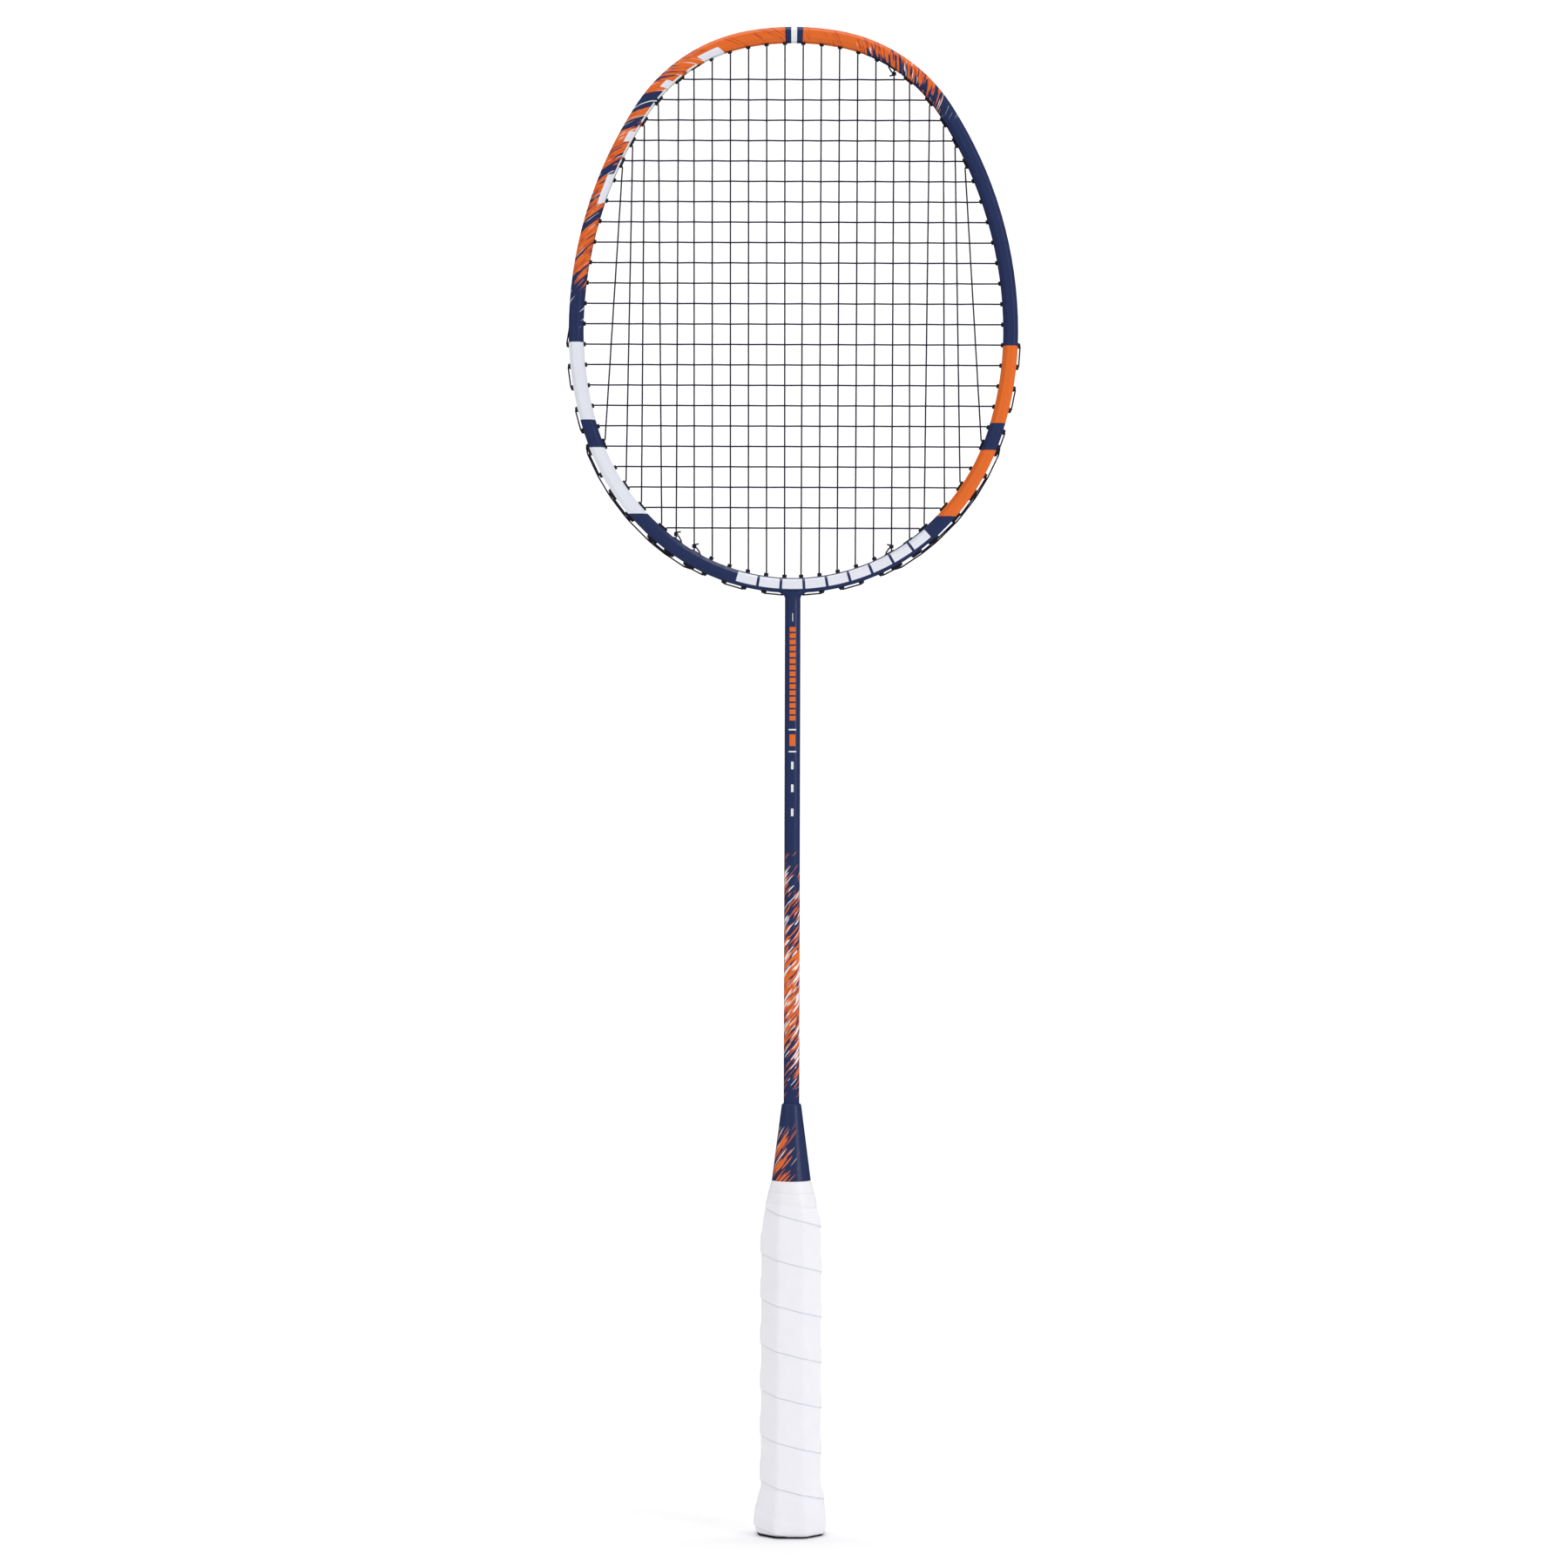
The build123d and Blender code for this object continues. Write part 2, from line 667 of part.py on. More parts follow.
def crossing(cross, column):
    """The place on a main, before weaving, where a cross passes it. None where they don't meet."""
    z = cross_z(cross)
    bottom, top = main_ends(*MAIN_COLUMNS[column])
    if not bottom.Z < z < top.Z:
        return None
    share = (z - bottom.Z) / (top.Z - bottom.Z)
    return Vector(bottom.X + share * (top.X - bottom.X), 0, z)


def woven(place, cross, column, is_cross):
    """The place moved to the back or the front, so that the strings pass over and under in turn."""
    rise = WEAVE_HEIGHT * (-1) ** (column + cross)
    return place + Vector(0, rise if is_cross else -rise, 0)


def cross_row(cross):
    """One woven cross from its left bore to its right bore."""
    bore = CROSS_BORES[cross]
    right_end = [(bore.inner(), MOUTH_BEND), (bore.outer(), OUTER_BEND)]
    row = on_side(right_end[::-1], -1)
    for column in range(len(MAIN_COLUMNS)):
        place = crossing(cross, column)
        if place is not None:
            row.append((woven(place, cross, column, True), WEAVE_BEND))
    return row + right_end


def main_column(main, side):
    """One woven main from its bottom bore to its top bore."""
    bottom = BOTTOM_BORES[main]
    top = TOP_BORES[main]
    column = MAIN_COLUMNS.index((main, side))
    corners = on_side([(bottom.outer(), OUTER_BEND), (bottom.inner(), MOUTH_BEND)], side)
    for cross in range(CROSSES, 0, -1):
        place = crossing(cross, column)
        if place is not None:
            corners.append((woven(place, cross, column, False), WEAVE_BEND))
    return corners + on_side([(top.inner(), MOUTH_BEND), (top.outer(), OUTER_BEND)], side)


def main_at_end(main, side, at_top):
    """Where a main leaves its bore inside the head, and the direction in which it leaves."""
    corners = [point for point, _ in main_column(main, side)]
    if at_top:
        corners.reverse()
    return corners[1], (corners[2] - corners[1]).normalized()


def tied_end(main_inner, main_direction, tie, side):
    """The end of a string: out of its spare bore, twice round the main beside it, and a short tail.

    Returns the corners that lead to the knot and the edges of the knot.
    """
    mouth = flipped(tie.inner()) if side < 0 else tie.inner()
    outside = flipped(tie.outer()) if side < 0 else tie.outer()
    offset = mouth - main_inner
    height = offset.dot(main_direction)
    across = offset - main_direction * height
    reach = across.length
    frame = Plane(origin=main_inner, x_dir=across.normalized(), z_dir=main_direction)
    slope = KNOT_PITCH / (2 * pi)
    start_angle = acos(KNOT_RADIUS / reach)
    approach = KNOT_RADIUS * tan(start_angle)
    wrap_start_z = KNOT_START + approach * slope / KNOT_RADIUS
    wrap_start = Vector(KNOT_RADIUS * cos(start_angle), KNOT_RADIUS * sin(start_angle), wrap_start_z)
    wrapped = 1.5 * pi - start_angle + 2 * pi * (KNOT_TURNS - 1)
    helix = Edge.make_helix(KNOT_PITCH, slope * wrapped, KNOT_RADIUS)
    helix = Pos(0, 0, wrap_start_z) * Rot(0, 0, degrees(start_angle)) * helix
    tail_start = Vector(0, -KNOT_RADIUS, wrap_start_z + slope * wrapped)
    tail_direction = Vector(KNOT_RADIUS, 0, slope).normalized()
    tail = Edge.make_line(tail_start, tail_start + tail_direction * KNOT_TAIL)
    backwards = (Vector(reach, 0, KNOT_START) - wrap_start).normalized()
    corners = [
        (outside, OUTER_BEND),
        (mouth, 0.45),
        (frame.from_local_coords(wrap_start + backwards * KNOT_APPROACH), 0.6),
        (frame.from_local_coords(wrap_start), 0.0),
    ]
    return corners, [frame.location * helix, frame.location * tail]


def tie_run(side):
    """The last stretch of a main outside the tube, from main 11 over the other grommets to its knot."""
    passed = [CROSS_BORES[k].heading for k in (19, 20, 21, 22, 23)]
    passed += [BOTTOM_BORES[m].heading for m in (10, 9, 8, 7, 6)]
    headings = sorted(passed, reverse=True)
    return on_side([(tube_point(h, RUN_PROUD + TIE_RISE), 1.0) for h in headings], side)


def string_solid(edges):
    route = Wire(edges)
    section = Plane(origin=route @ 0, z_dir=route % 0) * Circle(STRING_RADIUS)
    return sweep(section, path=route)


def main_knot(side):
    return tied_end(*main_at_end(6, side, at_top=False), TIE_BOTTOM_SIX, side)


def main_string():
    """All 22 mains, one string that starts and ends in a knot by the throat."""
    left_corners, left_knot = main_knot(-1)
    right_corners, right_knot = main_knot(1)
    corners = left_corners[::-1] + tie_run(-1)[::-1]
    for main in range(MAINS_PER_SIDE, 0, -1):
        column = main_column(main, -1)
        corners += column if main % 2 else column[::-1]
    for main in range(1, MAINS_PER_SIDE + 1):
        column = main_column(main, 1)
        corners += column[::-1] if main % 2 else column
    corners += tie_run(1) + right_corners
    return string_solid(left_knot[::-1] + rounded_edges(corners) + right_knot)


def cross_string():
    """All 23 crosses, one woven string from a knot at the lower left to a knot at the upper right."""
    start_corners, start_knot = tied_end(*main_at_end(7, -1, at_top=False), TIE_BOTTOM_SEVEN, -1)
    end_corners, end_knot = tied_end(*main_at_end(6, 1, at_top=True), TIE_TOP, 1)
    corners = start_corners[::-1]
    for cross in range(CROSSES, 0, -1):
        row = cross_row(cross)
        corners += row if cross % 2 else row[::-1]
    corners += end_corners
    return string_solid(start_knot[::-1] + rounded_edges(corners) + end_knot)


# ---------------------------------------------------------------- write every piece

os.makedirs("parts", exist_ok=True)

PIECES = {
    "head_frame": head_frame,
    "t_joint": t_joint,
    "shaft": shaft,
    "cone": cone,
    "handle_core": handle_core,
    "butt_cap": butt_cap,
    "grip_staple": staple,
    "grip_wrap": grip_wrap,
    "finishing_tape": finishing_tape,
    "main_string": main_string,
    "cross_string": cross_string,
}
for name, build in PIECES.items():
    export_step(build(), f"parts/{name}.step")

for name, places in GROMMET_GROUPS.items():
    solids = []
    for bores in places:
        solids += both_sides(grommet(bores))
    export_step(Compound(children=solids), f"parts/{name}.step")
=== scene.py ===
from math import ceil, cos, floor, pi, radians, sin, tan, tau

import bpy
from mathutils import Matrix, Vector


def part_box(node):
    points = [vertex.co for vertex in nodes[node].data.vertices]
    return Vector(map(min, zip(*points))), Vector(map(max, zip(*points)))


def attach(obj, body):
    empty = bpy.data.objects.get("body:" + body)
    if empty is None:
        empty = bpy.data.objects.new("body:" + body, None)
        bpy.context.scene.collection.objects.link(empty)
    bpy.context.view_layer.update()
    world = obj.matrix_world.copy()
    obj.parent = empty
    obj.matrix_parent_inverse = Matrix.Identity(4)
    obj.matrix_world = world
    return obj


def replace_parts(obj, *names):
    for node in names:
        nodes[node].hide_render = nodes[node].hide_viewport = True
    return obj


# A strung badminton racket that stands on its butt end. Metres. +Z runs up the racket, the strings
# lie in the XZ plane and the front faces -Y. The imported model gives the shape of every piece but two:
# the wrapped grip and the finishing tape are made here. So is the finish of every piece.

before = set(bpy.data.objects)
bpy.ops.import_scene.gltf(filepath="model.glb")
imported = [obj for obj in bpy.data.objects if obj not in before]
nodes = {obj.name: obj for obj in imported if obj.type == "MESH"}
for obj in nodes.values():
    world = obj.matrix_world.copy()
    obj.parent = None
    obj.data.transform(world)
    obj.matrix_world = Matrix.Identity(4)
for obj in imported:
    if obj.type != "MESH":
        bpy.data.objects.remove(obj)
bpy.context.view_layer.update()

MM = 0.001
MICRON = 0.001 * MM

# ---------------------------------------------------------------- camera
PICTURE_WIDTH = 0.7029  # metres across the picture at the strings
FIELD_OF_VIEW = radians(22.0)
CAMERA_X = -0.0037
CAMERA_Z = 0.3360
CAMERA_ROLL = radians(0.145)

# ---------------------------------------------------------------- studio
STAGE_HALF_WIDTH = 4.0
STAGE_FRONT = -2.6
STAGE_BEND_START = 1.0  # the floor starts to curve up this far behind the racket
STAGE_BEND_RADIUS = 1.2
STAGE_BEND_STEPS = 16
STAGE_WALL_TOP = 4.0
RACKET_MIDDLE = (0.0, 0.0, 0.34)
AREA_LIGHTS = (  # name, place, what it points at, width, height, watts
    ("key_left", (-1.5, -1.5, 1.3), RACKET_MIDDLE, 0.9, 1.6, 3.2),
    ("key_right", (1.6, -1.3, 1.1), RACKET_MIDDLE, 0.9, 1.6, 11.0),
    ("top", (0.0, -0.2, 2.2), RACKET_MIDDLE, 2.0, 1.4, 3.0),
    ("wall_wash", (0.0, 0.6, 2.6), (0.0, 2.0, 0.4), 3.0, 1.0, 30.0),
)
WORLD_STRENGTH = 0.68

# ---------------------------------------------------------------- head outline, as the tube is bent
TUBE_WIDTH = 6.5 * MM
HEAD_HALF_WIDTH = 97.4 * MM
HEAD_BELOW_WIDEST = 113.6 * MM
HEAD_ABOVE_WIDEST = 133.15 * MM
LOWER_SWEEPS = (35.0, 37.0, 18.0)  # degrees, from the throat to the widest place
LOWER_MIDDLE_RADIUS = 101.0 * MM
UPPER_SWEEPS = (10.0, 47.0, 33.0)  # degrees, from the tip to the widest place
UPPER_MIDDLE_RADIUS = 72.0 * MM

# ---------------------------------------------------------------- paint of the head
# Heights are above the butt end. "Across" is measured outward from the middle of the tube.
SHARP = 0.1 * MM  # softness of a printed edge
LEFT_PALE_BANDS = ((456.8 * MM, 486.4 * MM), (498.8 * MM, 533.5 * MM))
RIGHT_ORANGE_BANDS = ((456.0 * MM, 485.6 * MM), (497.7 * MM, 532.3 * MM))
LEFT_STREAKS_FROM = 541.0 * MM
LEFT_ORANGE_FROM = 586.0 * MM
LEFT_WHITE_FROM = 542.0 * MM
RIGHT_STREAKS_FROM = 633.0 * MM
RIGHT_ORANGE_FROM = 650.0 * MM
RIGHT_WHITE_FADE = (632.0 * MM, 642.0 * MM)  # white strokes come in between these heights
RIGHT_NAVY_FADE = (632.0 * MM, 630.0 * MM)  # and from the second of these down, all is navy
LEFT_STREAKS_TO = 661.0 * MM  # higher up, the left is nearly plain orange
LEFT_STREAKS_FADE = 3.0 * MM
RIGHT_STREAKS_FADE = (669.5 * MM, 664.0 * MM)  # higher up, the right is plain orange
NAVY_CLUSTERS = (  # on the left: height of the middle, half length along the tube, cover
    (631.8 * MM, 5.0 * MM, 0.68),
    (620.3 * MM, 4.0 * MM, 0.44),
    (610.5 * MM, 5.5 * MM, 0.80),
    (588.0 * MM, 7.0 * MM, 0.70),
    (572.5 * MM, 6.0 * MM, 0.56),
)
CLUSTER_CORE = 0.15  # part of a cluster that has its full cover
LEFT_SLANT = 1.35  # how far a stroke runs along the tube for each step outward
RIGHT_SLANT = -0.7
PAINT_DEPTH = 12.0 * MM  # strokes change over this distance from front to back
DARK_PATCH = (639.0 * MM, 646.6 * MM)
JAG_WIDTH = 1.6 * MM  # notches in the edges of the dark patch
JAG_LENGTH = 6.0 * MM
JAG_DEPTH = 3.0 * MM
ARC_LINE = (640.3 * MM, 640.8 * MM)  # a thin white arc across the dark patch
ARC_LINE_BEND = 60.0
PATCHES = (  # white patches on the left: height of the middle, half length along the tube
    (664.2 * MM, 5.2 * MM),
    (650.2 * MM, 2.2 * MM),
    (626.3 * MM, 2.6 * MM),
    (602.7 * MM, 7.0 * MM),
)
PATCH_SLANT = 0.75
PATCH_MIDDLE = -1.8 * MM  # across
PATCH_OUTER_EDGE = -0.5 * MM  # across
INNER_LINE = (606.0 * MM, 660.5 * MM)  # heights between which a white line follows the inner edge
INNER_LINE_EDGE = -2.75 * MM  # across
INNER_LINE_HALF_DEPTH = 4.25 * MM
INNER_LINE_WEAR = 6.0 * MM  # about how far apart the gaps in the line are
THROAT_BLOCKS = 9  # white blocks along the throat
BLOCKS_FROM_X = -25.5 * MM
BLOCKS_TO_X = 61.0 * MM
BLOCK_FILLS = (0.05, 0.93)  # of its step along the row
BLOCK_EDGE = 0.008
BLOCKS_ACROSS = (-2.7 * MM, 1.8 * MM)
TIP_BAND_HALF_LENGTH = 4.0 * MM
TIP_WHITE_HALF_LENGTH = 1.3 * MM
NECK_TOP = 420.8 * MM

# ---------------------------------------------------------------- brush strokes
# Each coat of strokes: its own number in the noise, and the width and length of a stroke.
LEFT_NAVY = (3.0, 2.1 * MM, 10.5 * MM)
LEFT_FINE_NAVY = (19.0, 0.9 * MM, 8.5 * MM)
LEFT_DEEP_ORANGE = (9.0, 1.2 * MM, 7.0 * MM)
LEFT_WHITE = (14.0, 0.8 * MM, 8.5 * MM)
RIGHT_NAVY = (21.0, 1.7 * MM, 8.0 * MM)
RIGHT_FINE_NAVY = (24.0, 0.8 * MM, 6.0 * MM)
RIGHT_DEEP_ORANGE = (27.0, 1.1 * MM, 6.0 * MM)
RIGHT_WHITE = (33.0, 0.8 * MM, 7.0 * MM)
SHAFT_ORANGE = (4.0, 1.6 * MM, 6.5 * MM)
SHAFT_FINE_ORANGE = (8.0, 0.9 * MM, 6.0 * MM)
SHAFT_WHITE = (11.0, 1.3 * MM, 6.0 * MM)
CONE_ORANGE = (6.0, 1.8 * MM, 10.0 * MM)
CONE_FINE_ORANGE = (9.0, 1.0 * MM, 10.0 * MM)
CONE_WHITE = (17.0, 1.0 * MM, 12.0 * MM)
WANDER_WIDTH = 6.0 * MM  # bends that several strokes share
WANDER_LENGTH = 20.0 * MM
WANDER = 1.2  # in widths of a stroke
NOISE_AT_BARE = 0.76  # noise above this is a stroke where the cover is 0
NOISE_PER_COVER = 0.52
STROKE_EDGE = 0.012
BARE_COVER = 0.03  # under this cover there are no strokes

# ---------------------------------------------------------------- paint of the shaft and the cone
SHAFT_RADIUS = 3.5 * MM
SHAFT_SLANT = -1.15
SHAFT_DENSE = (220.0 * MM, 264.0 * MM)
SHAFT_SPARSE = (198.0 * MM, 303.0 * MM)
SHAFT_FADE = 10.0 * MM
CONE_PAINT_RADIUS = 7.0 * MM
CONE_SLANT = -1.25
CONE_STROKES = (150.0 * MM, 182.0 * MM)
CONE_STROKES_FADE = 4.0 * MM
CONE_WHITE_STROKES = (148.0 * MM, 184.0 * MM)
CONE_WHITE_FADE = 2.0 * MM
CONE_RIGHT_FADE = (1.1, -0.4)  # radians round from the front, positive to the right
CONE_BACK_FADE = (-3.0, -1.9)

# ---------------------------------------------------------------- wrapped grip
GRIP_SECTIONS = (  # height, width and depth of the wrapped handle, in mm
    (0.9, 29.4, 26.0),
    (2.4, 30.9, 27.5),
    (4.2, 31.6, 28.2),
    (6.5, 31.8, 28.4),
    (12.0, 30.8, 27.4),
    (16.5, 29.2, 26.2),
    (21.0, 26.6, 24.0),
    (134.0, 26.6, 24.0),
    (141.0, 25.0, 23.2),
    (146.0, 23.1, 21.9),
    (149.5, 20.6, 19.9),
)
CORNER_FACET = 0.29  # of the mean width of the octagon
FACET_SHARPNESS = 30.0
WRAP_PITCH = 20.3 * MM
SEAM_AT_RIGHT = 56.0 * MM  # height of one seam where it passes the right edge
WRAP_THICKNESS = 1.5 * MM
OVERLAP_RISE = 0.55 * MM
OVERLAP_WIDTH = 4.5 * MM
OVERLAP_EDGE = 0.5 * MM  # the rise is complete this far above the seam
OVERLAP_FADE = 4.0 * MM
CREASE_DEPTH = 0.18 * MM
CREASE_WIDTH = 0.3 * MM
END_ROUNDING = 0.5 * MM
END_ROUNDING_HEIGHT = 1.2 * MM
GRIP_COLUMNS = 160
# Rows of points in one turn of the wrap, as parts of the pitch: they are close near the seam.
ROWS_ABOVE_SEAM = (0.0, 0.004, 0.008, 0.013, 0.018, 0.025, 0.034, 0.046)
EVEN_ROWS_FROM = 0.06
EVEN_ROWS_SPAN = 0.91
EVEN_ROWS = 26
ROWS_BELOW_SEAM = (0.985, 0.993)

# ---------------------------------------------------------------- finishing tape
TAPE_FOOT = 146.6 * MM
TAPE_FOOT_WIDTH = 23.3 * MM
TAPE_FOOT_DEPTH = 22.1 * MM
TAPE_TOP_WIDTH = 18.1 * MM
TAPE_THICKNESS = 0.3 * MM
TAPE_ROUNDS_OFF = 1.15  # the octagon has become a circle at 1 / 1.15 of the height
TAPE_SEAM = 153.4 * MM
TAPE_SEAM_TILT = 0.5 * MM
TAPE_STEP = 0.16 * MM
TAPE_STEP_HEIGHT = 0.25 * MM
TAPE_RIPPLE = 0.06 * MM
TAPE_RIPPLES_AROUND = 3.0
TAPE_RIPPLES_UP = 900.0
TAPE_END_ROUNDING = 0.22 * MM
TAPE_END_HEIGHT = 0.5 * MM
TAPE_COLUMNS = 128
TAPE_ROWS = 44


# ---------------------------------------------------------------- colours
def colour(red, green, blue):
    """Linear colour of a paint that looks like this red, green and blue, each 0 to 255."""
    return tuple(
        value / 12.92 if value <= 0.04045 else ((value + 0.055) / 1.055) ** 2.4
        for value in (red / 255, green / 255, blue / 255)
    )


ORANGE = colour(238, 112, 38)
DEEP_ORANGE = colour(214, 84, 30)
NAVY = colour(41, 54, 96)
DARK_NAVY = colour(16, 22, 56)
PALE = colour(238, 240, 250)
WHITE = colour(244, 245, 248)

# ---------------------------------------------------------------- plain marks on the front of the shaft
SHAFT_MARKS = (  # from, to, half width, colour
    (408.8 * MM, 413.6 * MM, 0.2 * MM, WHITE),
    (364.4 * MM, 406.7 * MM, 1.4 * MM, ORANGE),
    (360.0 * MM, 360.6 * MM, 1.8 * MM, WHITE),
    (353.0 * MM, 358.2 * MM, 1.4 * MM, ORANGE),
    (350.2 * MM, 350.8 * MM, 1.8 * MM, WHITE),
    (342.6 * MM, 346.0 * MM, 0.6 * MM, WHITE),
    (332.4 * MM, 335.8 * MM, 0.6 * MM, WHITE),
    (321.6 * MM, 325.0 * MM, 0.6 * MM, WHITE),
)
LONG_MARK = 20.0 * MM  # longer marks are a row of short bars
MARK_PITCH = 2.84 * MM
MARK_FILLED = 0.74
MARK_EDGE = 0.04


# ---------------------------------------------------------------- materials as formulas
def operation(name, swapped=False):
    """A method of Term that adds this Math node."""

    def apply(self, other=0.0):
        pair = (other, self) if swapped else (self, other)
        return self.graph.math(name, *pair)

    return apply


class Term:
    """A value that varies over a surface. It adds, multiplies and compares like a number."""

    __add__ = operation("ADD")
    __radd__ = operation("ADD", swapped=True)
    __sub__ = operation("SUBTRACT")
    __rsub__ = operation("SUBTRACT", swapped=True)
    __mul__ = operation("MULTIPLY")
    __rmul__ = operation("MULTIPLY", swapped=True)
    __truediv__ = operation("DIVIDE")
    __mod__ = operation("FLOORED_MODULO")
    most = operation("MAXIMUM")
    over = operation("GREATER_THAN")
    size = operation("ABSOLUTE")
    root = operation("SQRT")
    sine = operation("SINE")

    def __init__(self, graph, socket):
        self.graph = graph
        self.socket = socket


class Graph:
    """The node tree of one new material."""

    def __init__(self, name):
        self.material = bpy.data.materials.new(name)
        self.material.use_nodes = True
        self.tree = self.material.node_tree
        self.tree.nodes.clear()

    def node(self, kind, inputs=(), **settings):
        made = self.tree.nodes.new("ShaderNode" + kind)
        for key, value in settings.items():
            setattr(made, key, value)
        for key, value in dict(inputs).items():
            if isinstance(value, Term):
                self.tree.links.new(value.socket, made.inputs[key])
            elif isinstance(value, tuple) and made.inputs[key].type == "RGBA":
                made.inputs[key].default_value = (*value, 1.0)
            else:
                made.inputs[key].default_value = value
        return made

    def term(self, node, output=0):
        return Term(self, node.outputs[output])

    def math(self, name, *values):
        return self.term(self.node("Math", enumerate(values), operation=name))

    def place(self):
        """The place on the object, as three terms."""
        split = self.node("SeparateXYZ", {0: self.term(self.node("TexCoord"), "Object")})
        return [self.term(split, axis) for axis in range(3)]

    def vector(self, *values):
        return self.term(self.node("CombineXYZ", enumerate(values)))

    def turn(self, x, y):
        """Radians round the racket's axis from the front, positive to the right."""
        return self.math("ARCTAN2", x, 0.0 - y)

    def noise(self, vector, scale=1.0, detail=2.0, roughness=0.5):
        inputs = {"Vector": vector, "Scale": scale, "Detail": detail, "Roughness": roughness}
        return self.term(self.node("TexNoise", inputs))

    def cells(self, vector, scale):
        """Distance to the nearest of many scattered points."""
        return self.term(self.node("TexVoronoi", {"Vector": vector, "Scale": scale}), "Distance")

    def ramp(self, value, start, end):
        """0 at start and 1 at end, smooth between them."""
        inputs = {0: value, 1: start, 2: end}
        return self.term(self.node("MapRange", inputs, interpolation_type="SMOOTHSTEP"))

    def between(self, value, low, high, soft):
        """1 from low to high and 0 outside, over twice the softness at each end."""
        return self.ramp(value, low - soft, low + soft) * self.ramp(value, high + soft, high - soft)

    def below(self, value, edge, soft):
        """1 below the edge and 0 above it, over twice the softness."""
        return self.ramp(value, edge + soft, edge - soft)

    def choose(self, factor, first, second):
        """first where the factor is 0 and second where it is 1, for values."""
        return first + (second - first) * factor

    def mix(self, factor, first, second):
        """first where the factor is 0 and second where it is 1, for colours."""
        inputs = {0: factor, 6: first, 7: second}
        return self.term(self.node("Mix", inputs, data_type="RGBA"), 2)

    def finish(self, colour, roughness, relief, **constants):
        """Ends the material. The relief is a height in metres."""
        bump = self.node("Bump", {"Height": relief, "Strength": 1.0, "Distance": 1.0})
        inputs = {"Base Color": colour, "Roughness": roughness, "Normal": self.term(bump)}
        inputs.update({name.replace("_", " "): value for name, value in constants.items()})
        shader = self.node("BsdfPrincipled", inputs)
        output = self.node("OutputMaterial")
        self.tree.links.new(shader.outputs[0], output.inputs[0])
        return self.material


# ---------------------------------------------------------------- places along the head
def head_arcs():
    """Centre x and z, radius, first heading and length so far of the six arcs of the right half.

    The heading is the direction of travel in radians: 0 at the throat and pi at the tip. The last
    row is the tip itself.
    """

    def radii(across, along, sweeps, middle):
        turned = [0.0, radians(sweeps[0]), radians(sweeps[0] + sweeps[1]), pi / 2]
        run = [sin(turned[i + 1]) - sin(turned[i]) for i in range(3)]
        rise = [cos(turned[i]) - cos(turned[i + 1]) for i in range(3)]
        run_left = across - middle * run[1]
        rise_left = along - middle * rise[1]
        det = run[0] * rise[2] - run[2] * rise[0]
        first = (run_left * rise[2] - rise_left * run[2]) / det
        last = (rise_left * run[0] - run_left * rise[0]) / det
        return [first, middle, last]

    lower = radii(HEAD_HALF_WIDTH, HEAD_BELOW_WIDEST, LOWER_SWEEPS, LOWER_MIDDLE_RADIUS)
    upper = radii(HEAD_HALF_WIDTH, HEAD_ABOVE_WIDEST, UPPER_SWEEPS, UPPER_MIDDLE_RADIUS)
    sweeps = LOWER_SWEEPS + UPPER_SWEEPS[::-1]
    x = 0.0
    z = HEAD_TOP - TUBE_WIDTH / 2 - HEAD_ABOVE_WIDEST - HEAD_BELOW_WIDEST
    heading = 0.0
    length = 0.0
    arcs = []
    for radius, sweep in zip(lower + upper[::-1], sweeps):
        centre_x = x - radius * sin(heading)
        centre_z = z + radius * cos(heading)
        arcs.append((centre_x, centre_z, radius, heading, length))
        heading += radians(sweep)
        length += radius * radians(sweep)
        x = centre_x + radius * sin(heading)
        z = centre_z - radius * cos(heading)
    arcs.append((x, z, 0.0, heading, length))
    return arcs


HEAD_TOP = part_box("head_frame")[1].z
HEAD_ARCS = head_arcs()
HALF_HEAD_LENGTH = HEAD_ARCS[-1][4]


def length_to(axis, target):
    """Length along the head from the throat to the place where x (0) or z (1) has this size."""
    low, high = (0.0, pi / 2) if axis == 0 else (0.0, pi)
    for _ in range(40):
        heading = (low + high) / 2
        x, z, radius, first, length = [arc for arc in HEAD_ARCS[:-1] if arc[3] <= heading][-1]
        place = (x + radius * sin(heading), z - radius * cos(heading))[axis]
        low, high = (heading, high) if place < target else (low, heading)
    return length + radius * (heading - first)


def up_to(height):
    """Length along the head from the throat to this height."""
    return length_to(1, height)


def along_head(graph):
    """Terms for the head: 1 on the left half, length from the throat, outward place and x, y, z."""
    x, y, z = graph.place()
    away = x.size()
    along = None
    for centre_x, centre_z, radius, first, length in HEAD_ARCS[:-1]:
        run = away - centre_x
        rise = centre_z - z
        heading = graph.math("ARCTAN2", run, rise)
        arc_along = (heading - first) * radius + length
        arc_across = (run * run + rise * rise).root() - radius
        if along is None:
            along, across = arc_along, arc_across
        else:
            beyond = heading.over(first)
            along = graph.choose(beyond, along, arc_along)
            across = graph.choose(beyond, across, arc_across)
    return (0.0 - x).over(0.0), along, across, (x, y, z)


# ---------------------------------------------------------------- paint
def strokes(graph, slant, across, coat, cover, layer=0.0):
    """1 on tapered brush strokes and 0 between them. Cover, 0 to 1, says how much they hide.

    A stroke runs where the slant stays the same. Its width is measured in slant, its length in across.
    """
    number, width, length = coat
    sheet = layer + number
    bends = graph.vector(slant / WANDER_WIDTH, across / WANDER_LENGTH, sheet)
    wander = graph.noise(bends, detail=0.0) * WANDER
    place = graph.vector(slant / width + wander, across / length, sheet)
    grain = graph.noise(place, detail=1.5, roughness=0.45)
    limit = NOISE_AT_BARE - NOISE_PER_COVER * cover
    return graph.ramp(grain - limit, -STROKE_EDGE, STROKE_EDGE) * graph.ramp(cover, 0.0, BARE_COVER)


